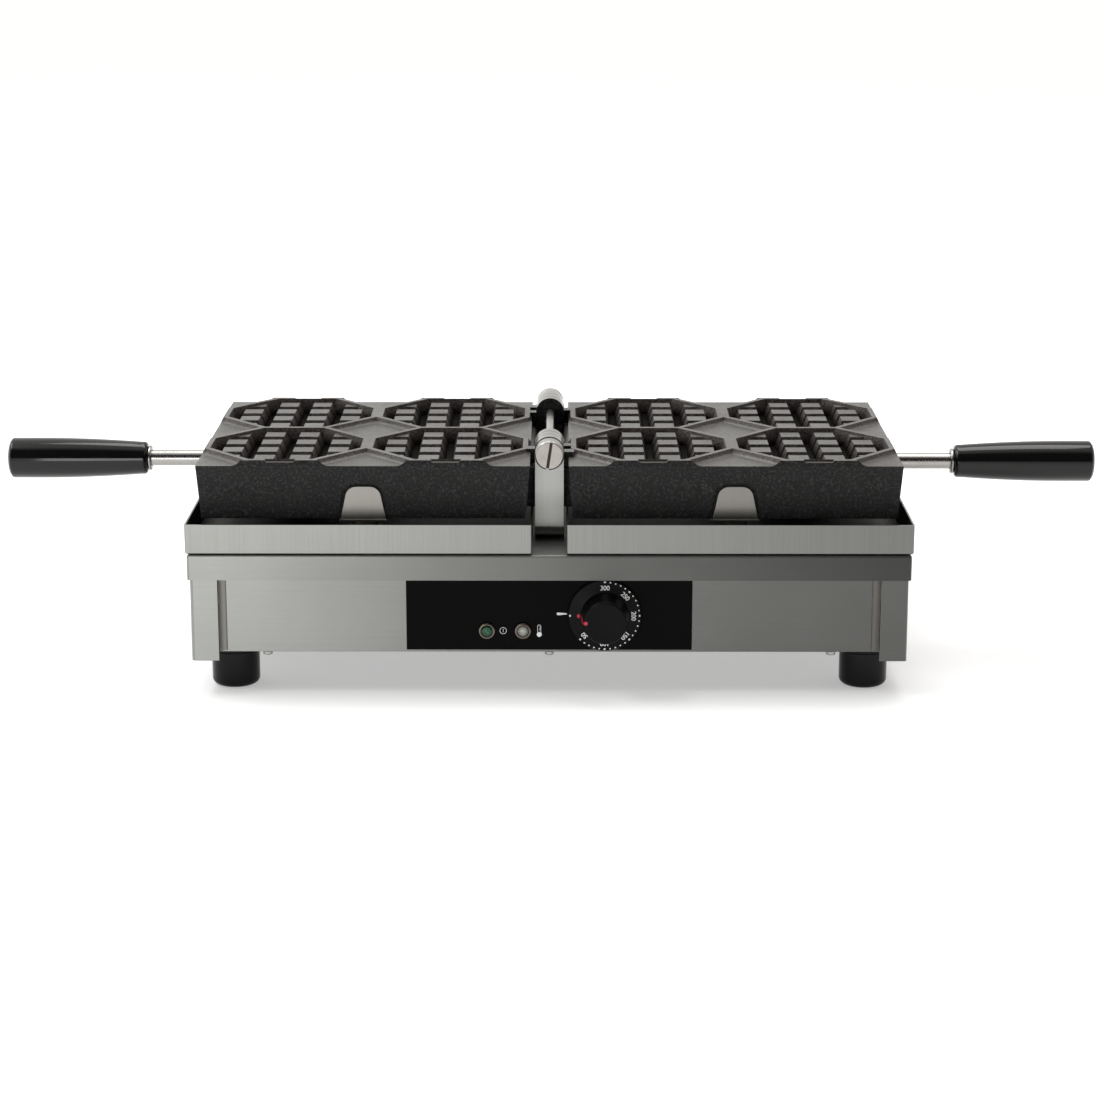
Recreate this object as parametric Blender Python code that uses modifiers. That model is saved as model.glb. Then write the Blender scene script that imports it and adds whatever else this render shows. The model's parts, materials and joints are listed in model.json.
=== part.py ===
"""Commercial double-plate electric waffle iron, opened 180 degrees.

Frame: +X to the user's right, -Y towards the user, +Z up. The origin is the centre of the
footprint at the height of the feet's undersides. Dimensions are in millimetres.
"""
import math

import bmesh
import bpy
from mathutils import Vector

MM = 0.001
GAP = 0.3

# How far a cutter runs past the faces that it cuts through
OVERCUT = 5.0

# Housing
CASING_HALF_X = 259.5
CASING_HALF_Y = 142.0
CASING_TOP = 105.0
CASING_SKIRT_BOTTOM = 86.4
CASING_SHEET = 1.3
PANEL_SHEET = 1.2
SIDE_PANEL_OUTER_X = CASING_HALF_X - CASING_SHEET - GAP
SIDE_PANEL_OUTER_Y = CASING_HALF_Y - CASING_SHEET - GAP
SIDE_PANEL_BOTTOM = 26.0
SIDE_FLANGE_INNER_X = 238.0
PANEL_TOP = CASING_TOP - CASING_SHEET - GAP
FRONT_PANEL_HALF_X = 237.2
FRONT_PANEL_FACE = 134.0
FRONT_PANEL_RETURN = 20.0
FRONT_PANEL_BOTTOM = 32.0
FRONT_PANEL_BEND = 3.5
BOTTOM_PLATE_TOP = 31.7
BOTTOM_PLATE_SHEET = 1.2
BOTTOM_PLATE_MARGIN = 1.0
BOTTOM_SCREW_X = (-204.0, 0.0, 204.0)
BOTTOM_SCREW_Y = -128.0
BOTTOM_SCREW_RADIUS = 3.4
BOTTOM_SCREW_HEAD = 2.6
BOTTOM_SCREW_RIM = 1.2
BOTTOM_SCREW_CHAMFER = 1.0

# Feet
FOOT_X = 230.0
FOOT_Y = 107.0
FOOT_RADIUS = 17.5
FOOT_EDGE = 5.0
FOOT_TOP = BOTTOM_PLATE_TOP - BOTTOM_PLATE_SHEET - GAP

# Control label, knob and lamps
LABEL_HALF_X = 103.0
LABEL_BOTTOM = 33.0
LABEL_TOP = 86.0
LABEL_THICKNESS = 0.8
LABEL_FACE = FRONT_PANEL_FACE + GAP + LABEL_THICKNESS
KNOB_X = 40.0
KNOB_Z = 59.3
KNOB_FRONT = 159.4
KNOB_SKIRT_RADIUS = 26.5
KNOB_SEAT = 0.5
KNOB_SKIRT_EDGE = 2.0
KNOB_SKIRT_SLOPE = ((17.4, 3.8), (25.5, 2.8))
KNOB_HUB_BASE = (16.6, 4.6)
KNOB_HUB_RADIUS = 14.5
KNOB_HUB_CHAMFER = 1.2
SHAFT_RADIUS = 3.0
SHAFT_HOLE_RADIUS = 4.5
SHAFT_FRONT = 152.5
SHAFT_BACK = 106.0
LAMP_X = {"power": -45.0, "heating": -19.0}
LAMP_Z = 47.3
LENS_RADIUS = 4.0
LENS_DEPTH = 16.0
LENS_DOME = ((0.0, 3.2), (2.6, 2.7), (LENS_RADIUS, 1.6))
BEZEL_RADIUS = 6.0
BEZEL_CROWN = ((LENS_RADIUS + GAP, 1.6), (BEZEL_RADIUS - 0.6, 2.0), (BEZEL_RADIUS, 1.2))

# Thermostat, wiring and cable inlet
THERMOSTAT_FRONT = 117.0
THERMOSTAT_SIZE = (46.0, 25.0, 38.0)
TERMINAL_LOW = (-120.0, 96.0, 32.0)
TERMINAL_HIGH = (-60.0, 120.0, 50.0)
TERMINAL_PITCH = 18.0
TERMINAL_HOLE_RADIUS = 3.0
TERMINAL_HOLE_DEPTH = 8.0
GLAND_X = -180.0
GLAND_Z = 62.0
GLAND_BORE = 5.0
GLAND_THREAD = 8.0
GLAND_FLANGE_RADIUS = 13.0
GLAND_FLANGE = (8.0, 9.0)
GLAND_CAP_RADIUS = 10.5
GLAND_CAP_TAPER = (2.0, 4.0)
GLAND_THREAD_LENGTH = 10.0
GLAND_NUT = 5.0
GLAND_BACK = KNOB_FRONT

# Hinge
HINGE_Z = 169.5
BRACKET_WIDTH = 21.0
BRACKET_THICKNESS = 7.5
BRACKET_OUTER_Y = 96.6
BRACKET_BEND = 10.4
ROD_RADIUS = 3.0
BORE_RADIUS = ROD_RADIUS + GAP
KNUCKLE_RADIUS = 11.0
SCREW_RADIUS = 10.5
SCREW_FACE = 104.6
SCREW_SLOT = 2.2
SCREW_SLOT_DEPTH = 1.6
SCREW_SLOT_TILT = -8.6
SCREW_CHAMFER = 0.8
BRACKET_BOLT_Y = 60.0
BOLT_HEAD_RADIUS = 5.0
BOLT_HEAD = 4.0
BOLT_CHAMFER = (0.4, 0.8)
BRACKET_BOLT_RADIUS = 2.5

# Knuckle lengths along Y, as (low, high), on the plate that lies to the right
RIGHT_KNUCKLES = ((-88.5, -78.5), (-67.0, -58.0), (67.5, 78.0))

# Drip trays
TRAY_INNER_X = 12.5
TRAY_OUTER_X = 260.5
TRAY_BACK_Y = 126.0
TRAY_BOTTOM = 105.6
TRAY_TOP = 127.2
TRAY_REAR_TOP = 117.0
TRAY_RELIEF = 4.0
TRAY_SHEET = 1.2

# Rests behind the trays that carry the open plates
REST_X = (165.0, 235.0)
REST_SHEET = 1.5
REST_TOP = 125.9

# Waffle plates, as cast; the plate that lies to the right is described
PLATE_CENTRE_X = 134.0
PLATE_HALF = 120.0
PLATE_DRAFT = 3.0
PLATE_BOTTOM = 126.2
PLATE_LOW_LEVEL = 165.4
PLATE_RIM = HINGE_Z - 0.2
RIM_SET_BACK = 1.8
CAVITY_OFFSET = (59.5, 58.0)
CAVITY_HALF = (55.0, 56.0)
CAVITY_FLAT = (22.5, 17.0)
CAVITY_DEPTH = 12.0
CAVITY_DRAFT = 3.0
DIAGONAL_RIM = 4.0
LOZENGE_SLOPE = 2.2
LOZENGE_FILLET = 2.0
STUD_PITCH = (25.8, 27.0)
STUD_TOP = (7.2, 8.0)
STUD_BASE = (10.9, 11.5)
STUD_BELOW_RIM = 2.0
STUD_STEPS = (-1.5, -0.5, 0.5, 1.5)
HOLLOW_HALF = 110.0
HOLLOW_ROOF = 150.0
NOTCH_HALF = 11.0
NOTCH_DEPTH = 1.5
NOTCH_REACH = 8.0
RECESS_MARGIN = 2.6
RECESS_FACE = 115.6

# Cover, clips and heating element under each plate
COVER_BOTTOM = 127.2
COVER_SHEET = 1.5
CLIP_HALF = 16.6
CLIP_TOP_HALF = 11.4
CLIP_ROUNDING = 8.0
CLIP_FLANGE_HALF = 17.3
CLIP_SHEET = 1.5
CLIP_FLANGE_SHEET = 1.6
CLIP_LIP = 0.6
CLIP_FACE = 118.5
CLIP_TOP = 150.0
CLIP_NUT_Y = 104.0
CLIP_NUT_RADIUS = 10.0
CLIP_NUT_HEIGHT = 5.6
CLIP_NUT_CHAMFER = 1.0
CLIP_STUD_RADIUS = 4.0
ELEMENT_Z = 143.0
ELEMENT_RADIUS = 4.0
ELEMENT_LEGS = (-81.0, -27.0, 27.0, 81.0)
ELEMENT_REACH = 70.0

# Handles
HANDLE_Z = 144.5
HANDLE_Y = -4.6
HANDLE_ROD_RADIUS = 6.0
GRIP_INNER = 306.0
GRIP_OUTER = 412.0
GRIP_OUTER_RADIUS = 15.3
GRIP_INNER_RADIUS = 12.4

# Look of each piece: colour, roughness, metallic
LOOKS = {
    "stainless": ((0.62, 0.61, 0.58), 0.35, 1.0),
    "bright_steel": ((0.72, 0.71, 0.69), 0.2, 1.0),
    "cast_iron": ((0.05, 0.05, 0.05), 0.6, 0.6),
    "black_plastic": ((0.02, 0.02, 0.02), 0.25, 0.0),
    "black_label": ((0.01, 0.01, 0.01), 0.4, 0.0),
    "grey_plastic": ((0.3, 0.3, 0.3), 0.5, 0.0),
    "green_lens": ((0.05, 0.5, 0.2), 0.2, 0.0),
    "clear_lens": ((0.85, 0.87, 0.85), 0.2, 0.0),
}


# ---------------------------------------------------------------- scene and materials

def clear_scene():
    for obj in list(bpy.data.objects):
        bpy.data.objects.remove(obj, do_unlink=True)


def new_collection(name):
    collection = bpy.data.collections.new(name)
    bpy.context.scene.collection.children.link(collection)
    return collection


def make_material(name):
    colour, roughness, metallic = LOOKS[name]
    material = bpy.data.materials.new(name)
    material.use_nodes = True
    shader = material.node_tree.nodes["Principled BSDF"]
    shader.inputs["Base Color"].default_value = (*colour, 1.0)
    shader.inputs["Roughness"].default_value = roughness
    shader.inputs["Metallic"].default_value = metallic
    return material


clear_scene()
PARTS = new_collection("waffle_iron")
CUTTERS = new_collection("cutters")
MATERIALS = {name: make_material(name) for name in LOOKS}


def add_part(name, mesh, look):
    mesh.materials.append(MATERIALS[look])
    obj = bpy.data.objects.new(name, mesh)
    PARTS.objects.link(obj)
    return obj


def add_cutter(name, mesh):
    cutter = bpy.data.objects.new(name, mesh)
    cutter.hide_render = True
    cutter.display_type = "WIRE"
    CUTTERS.objects.link(cutter)
    return cutter


def add_empty(name, location):
    empty = bpy.data.objects.new(name, None)
    empty.location = Vector(location) * MM
    PARTS.objects.link(empty)
    return empty


def attach(obj, empty):
    """Parent to an empty on the joint axis, keeping the place that the mesh describes."""
    obj.parent = empty
    obj.location = obj.location - empty.location


def boolean(target, cutter, operation):
    modifier = target.modifiers.new(cutter.name, "BOOLEAN")
    modifier.operation = operation
    modifier.solver = "EXACT"
    modifier.object = cutter


# ---------------------------------------------------------------- mesh builders

def place(axis, across, along):
    """Turn a point (u, v) across an axis and a distance along it into x, y, z."""
    u, v = across
    if axis == "X":
        return (along * MM, u * MM, v * MM)
    if axis == "Y":
        return (u * MM, along * MM, v * MM)
    return (u * MM, v * MM, along * MM)


def finish_mesh(bm, name):
    bmesh.ops.recalc_face_normals(bm, faces=bm.faces)
    mesh = bpy.data.meshes.new(name)
    bm.to_mesh(mesh)
    bm.free()
    return mesh


def smooth(mesh, angle=35.0):
    mesh.shade_smooth()
    mesh.set_sharp_from_angle(angle=math.radians(angle))


def add_loft(bm, axis, sections):
    """Close a solid through outlines of equal point count; each section is (along, outline)."""
    rings = [[bm.verts.new(place(axis, point, along)) for point in outline]
             for along, outline in sections]
    for lower, upper in zip(rings, rings[1:]):
        for i in range(len(lower)):
            bm.faces.new((lower[i - 1], lower[i], upper[i], upper[i - 1]))
    bm.faces.new(rings[0])
    bm.faces.new(rings[-1])


def loft_mesh(name, axis, *section_lists):
    bm = bmesh.new()
    for sections in section_lists:
        add_loft(bm, axis, sections)
    return finish_mesh(bm, name)


def prism_mesh(name, axis, outline, low, high):
    return loft_mesh(name, axis, [(low, outline), (high, outline)])


def box_mesh(name, low, high):
    bm = bmesh.new()
    bmesh.ops.create_cube(bm, size=1.0)
    middle = (Vector(low) + Vector(high)) / 2
    span = Vector(high) - Vector(low)
    bmesh.ops.scale(bm, vec=span * MM, verts=bm.verts)
    bmesh.ops.translate(bm, vec=middle * MM, verts=bm.verts)
    return finish_mesh(bm, name)


def circle(radius, centre=(0.0, 0.0), segments=32, start=0.0):
    step = 2 * math.pi / segments
    return [(centre[0] + radius * math.cos(start + step * i),
             centre[1] + radius * math.sin(start + step * i)) for i in range(segments)]


def arc(radius, centre, start, end, segments):
    """Points along an arc, from start to end in degrees."""
    angles = [math.radians(start + (end - start) * i / segments) for i in range(segments + 1)]
    return [(centre[0] + radius * math.cos(a), centre[1] + radius * math.sin(a)) for a in angles]


def rectangle(centre, half):
    (cx, cy), (hx, hy) = centre, half
    return [(cx - hx, cy - hy), (cx + hx, cy - hy), (cx + hx, cy + hy), (cx - hx, cy + hy)]


def rod_part(name, axis, centre, radius, low, high, look, segments=24):
    mesh = prism_mesh(name, axis, circle(radius, centre, segments), low, high)
    smooth(mesh)
    return add_part(name, mesh, look)


def round_hole(name, axis, centre, radius, low, high):
    return add_cutter(name, prism_mesh(name, axis, circle(radius, centre, 24), low, high))


def folded_sheet(name, axis, path, low, high, thickness, bend, look):
    """A bent sheet: the path runs through the middle of the metal, across the axis."""
    bm = bmesh.new()
    lower = [bm.verts.new(place(axis, point, low)) for point in path]
    upper = [bm.verts.new(place(axis, point, high)) for point in path]
    for i in range(len(path) - 1):
        bm.faces.new((lower[i], lower[i + 1], upper[i + 1], upper[i]))
    folds = [edge for edge in bm.edges if len(edge.link_faces) == 2]
    bmesh.ops.bevel(bm, geom=folds, offset=bend * MM, segments=4, profile=0.5, affect="EDGES")
    mesh = finish_mesh(bm, name)
    smooth(mesh)
    sheet = add_part(name, mesh, look)
    solidify(sheet, thickness, 0.0)
    return sheet


def solidify(obj, thickness, offset):
    modifier = obj.modifiers.new("sheet", "SOLIDIFY")
    modifier.thickness = thickness * MM
    modifier.offset = offset
    modifier.use_even_offset = True


def pan(name, low, high, open_direction, corner, thickness, look):
    """A five-sided sheet box, open towards +Z or -Z, with rounded upright corners."""
    bm = bmesh.new()
    bmesh.ops.create_cube(bm, size=1.0)
    bmesh.ops.scale(bm, vec=(Vector(high) - Vector(low)) * MM, verts=bm.verts)
    bmesh.ops.translate(bm, vec=(Vector(low) + Vector(high)) / 2 * MM, verts=bm.verts)
    bm.normal_update()
    open_faces = [face for face in bm.faces if face.normal.z * open_direction > 0.5]
    bmesh.ops.delete(bm, geom=open_faces, context="FACES_ONLY")
    creases = [edge for edge in bm.edges if len(edge.link_faces) == 2]
    bmesh.ops.bevel(bm, geom=creases, offset=corner * MM, segments=3, profile=0.5, affect="EDGES")
    mesh = finish_outward(bm, name, (Vector(low) + Vector(high)) / 2 * MM)
    smooth(mesh)
    shell = add_part(name, mesh, look)
    solidify(shell, thickness, -1.0)
    return shell


def finish_outward(bm, name, centre):
    """Close an open shell's mesh with every face pointing away from the centre."""
    bm.normal_update()
    for face in bm.faces:
        if face.normal.dot(face.calc_center_median() - centre) < 0:
            face.normal_flip()
    mesh = bpy.data.meshes.new(name)
    bm.to_mesh(mesh)
    bm.free()
    return mesh


def turned(name, profile, base, direction, look, steps=24, closed=False):
    """Spin (radius, along) points; they run down the outer side, from the far end back."""
    bm = bmesh.new()
    verts = [bm.verts.new((radius * MM, 0.0, along * MM)) for radius, along in profile]
    for first, second in zip(verts, verts[1:]):
        bm.edges.new((first, second))
    if closed:
        bm.edges.new((verts[-1], verts[0]))
    mesh = bpy.data.meshes.new(name)
    bm.to_mesh(mesh)
    bm.free()
    obj = add_part(name, mesh, look)
    obj.location = Vector(base) * MM
    obj.rotation_mode = "QUATERNION"
    obj.rotation_quaternion = Vector((0, 0, 1)).rotation_difference(Vector(direction))
    screw = obj.modifiers.new("turn", "SCREW")
    screw.steps = steps
    screw.render_steps = steps
    screw.use_merge_vertices = True
    screw.merge_threshold = 0.00001
    screw.use_smooth_shade = True
    return obj


# ---------------------------------------------------------------- housing

def build_casing():
    casing = pan("top_casing", (-CASING_HALF_X, -CASING_HALF_Y, CASING_SKIRT_BOTTOM),
                 (CASING_HALF_X, CASING_HALF_Y, CASING_TOP), -1, 2.0, CASING_SHEET, "stainless")
    for side in (-1, 1):
        hole = round_hole(f"casing_bolt_hole_{side}", "Z", (0.0, side * BRACKET_BOLT_Y),
                          BRACKET_BOLT_RADIUS + GAP, CASING_TOP - OVERCUT, CASING_TOP + OVERCUT)
        boolean(casing, hole, "DIFFERENCE")


def build_side_panel(name, side):
    outer_x = side * (SIDE_PANEL_OUTER_X - PANEL_SHEET / 2)
    inner_x = side * SIDE_FLANGE_INNER_X
    face_y = SIDE_PANEL_OUTER_Y - PANEL_SHEET / 2
    path = [(inner_x, -face_y), (outer_x, -face_y), (outer_x, face_y), (inner_x, face_y)]
    folded_sheet(name, "Z", path, SIDE_PANEL_BOTTOM, PANEL_TOP, PANEL_SHEET, 2.0, "stainless")


def build_end_panel(name, side):
    """Front (side -1) or rear (side 1) panel with returns at both ends."""
    half_x = FRONT_PANEL_HALF_X - PANEL_SHEET / 2
    face_y = side * (FRONT_PANEL_FACE - PANEL_SHEET / 2)
    return_y = side * (FRONT_PANEL_FACE - FRONT_PANEL_RETURN)
    path = [(-half_x, return_y), (-half_x, face_y), (half_x, face_y), (half_x, return_y)]
    return folded_sheet(name, "Z", path, FRONT_PANEL_BOTTOM, PANEL_TOP, PANEL_SHEET,
                        FRONT_PANEL_BEND, "stainless")


def build_front_panel():
    panel = build_end_panel("front_panel", -1)
    low = (-LABEL_HALF_X, -LABEL_FACE, LABEL_BOTTOM)
    high = (LABEL_HALF_X, -LABEL_FACE + LABEL_THICKNESS, LABEL_TOP)
    label = add_part("label_plate", box_mesh("label_plate", low, high), "black_label")
    cut_control_holes(panel)
    cut_control_holes(label)


def cut_control_holes(sheet):
    near, far = -LABEL_FACE - OVERCUT, -FRONT_PANEL_FACE + OVERCUT
    shaft_hole = round_hole(f"{sheet.name}_shaft_hole", "Y", (KNOB_X, KNOB_Z), SHAFT_HOLE_RADIUS,
                            near, far)
    boolean(sheet, shaft_hole, "DIFFERENCE")
    for lamp, x in LAMP_X.items():
        lamp_hole = round_hole(f"{sheet.name}_{lamp}_hole", "Y", (x, LAMP_Z), LENS_RADIUS + GAP,
                               near, far)
        boolean(sheet, lamp_hole, "DIFFERENCE")


def build_rear_panel():
    panel = build_end_panel("rear_panel", 1)
    hole = round_hole("gland_hole", "Y", (GLAND_X, GLAND_Z), GLAND_THREAD + GAP,
                      FRONT_PANEL_FACE - OVERCUT, FRONT_PANEL_FACE + OVERCUT)
    boolean(panel, hole, "DIFFERENCE")


def build_bottom_plate():
    half_x = SIDE_PANEL_OUTER_X - PANEL_SHEET - BOTTOM_PLATE_MARGIN
    half_y = FRONT_PANEL_FACE - PANEL_SHEET - BOTTOM_PLATE_MARGIN
    low = (-half_x, -half_y, BOTTOM_PLATE_TOP - BOTTOM_PLATE_SHEET)
    add_part("bottom_plate", box_mesh("bottom_plate", low, (half_x, half_y, BOTTOM_PLATE_TOP)), "stainless")


def build_bottom_screws():
    top = FOOT_TOP
    radius, low = BOTTOM_SCREW_RADIUS, top - BOTTOM_SCREW_HEAD
    profile = [(0, top), (radius, top), (radius, top - BOTTOM_SCREW_RIM),
               (radius - BOTTOM_SCREW_CHAMFER, low), (0, low)]
    for place_name, x in zip(("left", "centre", "right"), BOTTOM_SCREW_X):
        turned(f"{place_name}_bottom_screw", profile, (x, BOTTOM_SCREW_Y, 0), (0, 0, 1),
               "bright_steel", steps=12)


def build_feet():
    edge = arc(FOOT_EDGE, (FOOT_RADIUS - FOOT_EDGE, FOOT_EDGE), 0, -90, 4)
    profile = [(0, FOOT_TOP), (FOOT_RADIUS, FOOT_TOP), *edge, (0, 0)]
    for end, y in (("front", -FOOT_Y), ("rear", FOOT_Y)):
        for hand, x in (("left", -FOOT_X), ("right", FOOT_X)):
            turned(f"{end}_{hand}_foot", profile, (x, y, 0), (0, 0, 1), "black_plastic")


# ---------------------------------------------------------------- controls and wiring

def build_lamps():
    looks = {"power": "green_lens", "heating": "clear_lens"}
    rear = LABEL_FACE + GAP
    bezel = [(radius, rear + height) for radius, height in BEZEL_CROWN]
    bezel += [(BEZEL_RADIUS, rear), (LENS_RADIUS + GAP, rear)]
    lens = [(radius, rear + height) for radius, height in LENS_DOME]
    lens += [(LENS_RADIUS, rear - LENS_DEPTH), (0, rear - LENS_DEPTH)]
    for lamp, x in LAMP_X.items():
        base = (x, 0, LAMP_Z)
        turned(f"{lamp}_lamp_bezel", bezel, base, (0, -1, 0), "bright_steel", 16, closed=True)
        turned(f"{lamp}_lamp_lens", lens, base, (0, -1, 0), looks[lamp], 16)


def build_knob(axis_empty):
    rear = LABEL_FACE + KNOB_SEAT
    bore = SHAFT_RADIUS + GAP
    profile = [(0, KNOB_FRONT), (KNOB_HUB_RADIUS - KNOB_HUB_CHAMFER, KNOB_FRONT),
               (KNOB_HUB_RADIUS, KNOB_FRONT - KNOB_HUB_CHAMFER)]
    profile += [(radius, rear + height) for radius, height in (KNOB_HUB_BASE, *KNOB_SKIRT_SLOPE)]
    profile += [(KNOB_SKIRT_RADIUS, rear + KNOB_SKIRT_EDGE), (KNOB_SKIRT_RADIUS, rear), (bore, rear),
                (bore, SHAFT_FRONT + GAP), (0, SHAFT_FRONT + GAP)]
    knob = turned("thermostat_knob", profile, (KNOB_X, 0, KNOB_Z), (0, -1, 0), "black_plastic", 36)
    shaft = rod_part("thermostat_shaft", "Y", (KNOB_X, KNOB_Z), SHAFT_RADIUS, -SHAFT_FRONT,
                     -SHAFT_BACK, "bright_steel")
    attach(knob, axis_empty)
    attach(shaft, axis_empty)


def build_thermostat():
    width, depth, height = THERMOSTAT_SIZE
    low = (KNOB_X - width / 2, -THERMOSTAT_FRONT, KNOB_Z - height / 2)
    high = (KNOB_X + width / 2, -THERMOSTAT_FRONT + depth, KNOB_Z + height / 2)
    body = add_part("thermostat_body", box_mesh("thermostat_body", low, high), "grey_plastic")
    socket = round_hole("thermostat_socket", "Y", (KNOB_X, KNOB_Z), SHAFT_RADIUS + GAP,
                        -THERMOSTAT_FRONT - OVERCUT, -SHAFT_BACK + 1)
    boolean(body, socket, "DIFFERENCE")


def build_terminal_block():
    block = add_part("terminal_block", box_mesh("terminal_block", TERMINAL_LOW, TERMINAL_HIGH),
                     "grey_plastic")
    middle_y = (TERMINAL_LOW[1] + TERMINAL_HIGH[1]) / 2
    middle_x = (TERMINAL_LOW[0] + TERMINAL_HIGH[0]) / 2
    for i in (-1, 0, 1):
        x = middle_x + i * TERMINAL_PITCH
        hole = round_hole(f"terminal_hole_{i}", "Z", (x, middle_y), TERMINAL_HOLE_RADIUS,
                          TERMINAL_HIGH[2] - TERMINAL_HOLE_DEPTH, TERMINAL_HIGH[2] + OVERCUT)
        boolean(block, hole, "DIFFERENCE")


def build_cable_gland():
    seat = FRONT_PANEL_FACE + GAP
    rim, shoulder = GLAND_FLANGE
    narrowing, taper = GLAND_CAP_TAPER
    tip = seat - GLAND_THREAD_LENGTH
    body = [(GLAND_BORE, GLAND_BACK), (GLAND_CAP_RADIUS - narrowing, GLAND_BACK),
            (GLAND_CAP_RADIUS, GLAND_BACK - taper), (GLAND_CAP_RADIUS, seat + shoulder),
            (GLAND_FLANGE_RADIUS, seat + rim), (GLAND_FLANGE_RADIUS, seat), (GLAND_THREAD, seat),
            (GLAND_THREAD, tip), (GLAND_BORE, tip)]
    nut_outer = FRONT_PANEL_FACE - PANEL_SHEET - GAP
    nut_inner = nut_outer - GLAND_NUT
    nut = [(GLAND_THREAD + GAP, nut_outer), (GLAND_FLANGE_RADIUS, nut_outer),
           (GLAND_FLANGE_RADIUS, nut_inner), (GLAND_THREAD + GAP, nut_inner)]
    base = (GLAND_X, 0, GLAND_Z)
    turned("cable_gland", body, base, (0, 1, 0), "black_plastic", 16, closed=True)
    turned("gland_nut", nut, base, (0, 1, 0), "black_plastic", 16, closed=True)


# ---------------------------------------------------------------- hinge

def bracket_outline():
    """The U of the bent bar, seen along X, as (y, z) points."""
    outer_y, thick, bend = BRACKET_OUTER_Y, BRACKET_THICKNESS, BRACKET_BEND
    base = CASING_TOP + GAP
    top = HINGE_Z + BRACKET_WIDTH / 2
    inner_y, inner_bend = outer_y - thick, bend - thick
    outside = arc(bend, (outer_y - bend, base + bend), 0, -90, 5)
    outside += arc(bend, (-outer_y + bend, base + bend), -90, -180, 5)
    inside = arc(inner_bend, (-outer_y + bend, base + bend), 180, 270, 4)
    inside += arc(inner_bend, (outer_y - bend, base + bend), 270, 360, 4)
    return [(outer_y, top), *outside, (-outer_y, top), (-inner_y, top), *inside, (inner_y, top)]


def build_hinge_bracket():
    half = BRACKET_WIDTH / 2
    bm = bmesh.new()
    add_loft(bm, "X", [(-half, bracket_outline()), (half, bracket_outline())])
    top = (HINGE_Z + half - 0.1) * MM
    corners = [edge for edge in bm.edges if all(v.co.z > top for v in edge.verts)
               and abs(edge.verts[0].co.x - edge.verts[1].co.x) < 0.1 * MM]
    bmesh.ops.bevel(bm, geom=corners, offset=(half - 0.1) * MM, segments=9, profile=0.5,
                    affect="EDGES")
    mesh = finish_mesh(bm, "hinge_bracket")
    smooth(mesh)
    bracket = add_part("hinge_bracket", mesh, "stainless")
    reach = BRACKET_OUTER_Y + OVERCUT
    boolean(bracket, round_hole("bracket_bore", "Y", (0, HINGE_Z), BORE_RADIUS, -reach, reach),
            "DIFFERENCE")
    for side in (-1, 1):
        hole = round_hole(f"bracket_bolt_hole_{side}", "Z", (0.0, side * BRACKET_BOLT_Y),
                          BRACKET_BOLT_RADIUS + GAP, CASING_TOP - OVERCUT,
                          CASING_TOP + BRACKET_THICKNESS + OVERCUT)
        boolean(bracket, hole, "DIFFERENCE")


def build_bracket_bolts():
    seat = CASING_TOP + 2 * GAP + BRACKET_THICKNESS
    tip = CASING_TOP - OVERCUT
    top = seat + BOLT_HEAD
    inset, drop = BOLT_CHAMFER
    profile = [(0, top), (BOLT_HEAD_RADIUS - inset, top), (BOLT_HEAD_RADIUS, top - drop),
               (BOLT_HEAD_RADIUS, seat), (BRACKET_BOLT_RADIUS, seat), (BRACKET_BOLT_RADIUS, tip), (0, tip)]
    for end, side in (("front", -1), ("rear", 1)):
        turned(f"{end}_bracket_bolt", profile, (0, side * BRACKET_BOLT_Y, 0), (0, 0, 1),
               "bright_steel", 16)


def build_hinge_screw(name, side):
    seat = BRACKET_OUTER_Y + GAP
    profile = [(0, SCREW_FACE), (SCREW_RADIUS - SCREW_CHAMFER, SCREW_FACE),
               (SCREW_RADIUS, SCREW_FACE - SCREW_CHAMFER),
               (SCREW_RADIUS, seat), (0, seat)]
    screw = turned(name, profile, (0, 0, HINGE_Z), (0, side, 0), "bright_steel", 32)
    reach = SCREW_RADIUS + OVERCUT
    low, high = (-SCREW_SLOT / 2, -reach, -reach), (SCREW_SLOT / 2, reach, reach)
    slot = add_cutter(f"{name}_slot", box_mesh(f"{name}_slot", low, high))
    slot.location = (0, side * (SCREW_FACE - SCREW_SLOT_DEPTH + reach) * MM, HINGE_Z * MM)
    slot.rotation_euler = (0, math.radians(SCREW_SLOT_TILT), 0)
    boolean(screw, slot, "DIFFERENCE")


def build_hinge():
    build_hinge_bracket()
    build_bracket_bolts()
    rod_part("hinge_rod", "Y", (0, HINGE_Z), ROD_RADIUS, -BRACKET_OUTER_Y, BRACKET_OUTER_Y,
             "bright_steel")
    build_hinge_screw("front_hinge_screw", -1)
    build_hinge_screw("rear_hinge_screw", 1)


# ---------------------------------------------------------------- trays and rests

def build_tray(name, side, axis_empty):
    x_low, x_high = sorted((side * TRAY_INNER_X, side * TRAY_OUTER_X))
    tray = pan(name, (x_low, -CASING_HALF_Y, TRAY_BOTTOM), (x_high, TRAY_BACK_Y, TRAY_TOP), 1, 1.5,
               TRAY_SHEET, "stainless")
    relief_low = (x_low - OVERCUT, TRAY_BACK_Y - TRAY_RELIEF, TRAY_REAR_TOP)
    relief_high = (x_high + OVERCUT, TRAY_BACK_Y + OVERCUT, TRAY_TOP + OVERCUT)
    relief = add_cutter(f"{name}_rear_relief",
                        box_mesh(f"{name}_rear_relief", relief_low, relief_high))
    boolean(tray, relief, "DIFFERENCE")
    attach(tray, axis_empty)


def build_rest(name, side):
    middle = REST_TOP - REST_SHEET / 2
    foot = CASING_TOP + GAP + REST_SHEET / 2
    path = [(112.5, middle), (131.0, middle), (131.0, foot), (140.0, foot)]
    x_low, x_high = sorted(side * x for x in REST_X)
    folded_sheet(name, "X", path, x_low, x_high, REST_SHEET, 1.5, "stainless")


# ---------------------------------------------------------------- waffle plates

def plate_ring(half):
    return rectangle((PLATE_CENTRE_X, 0.0), (half, half))


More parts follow.
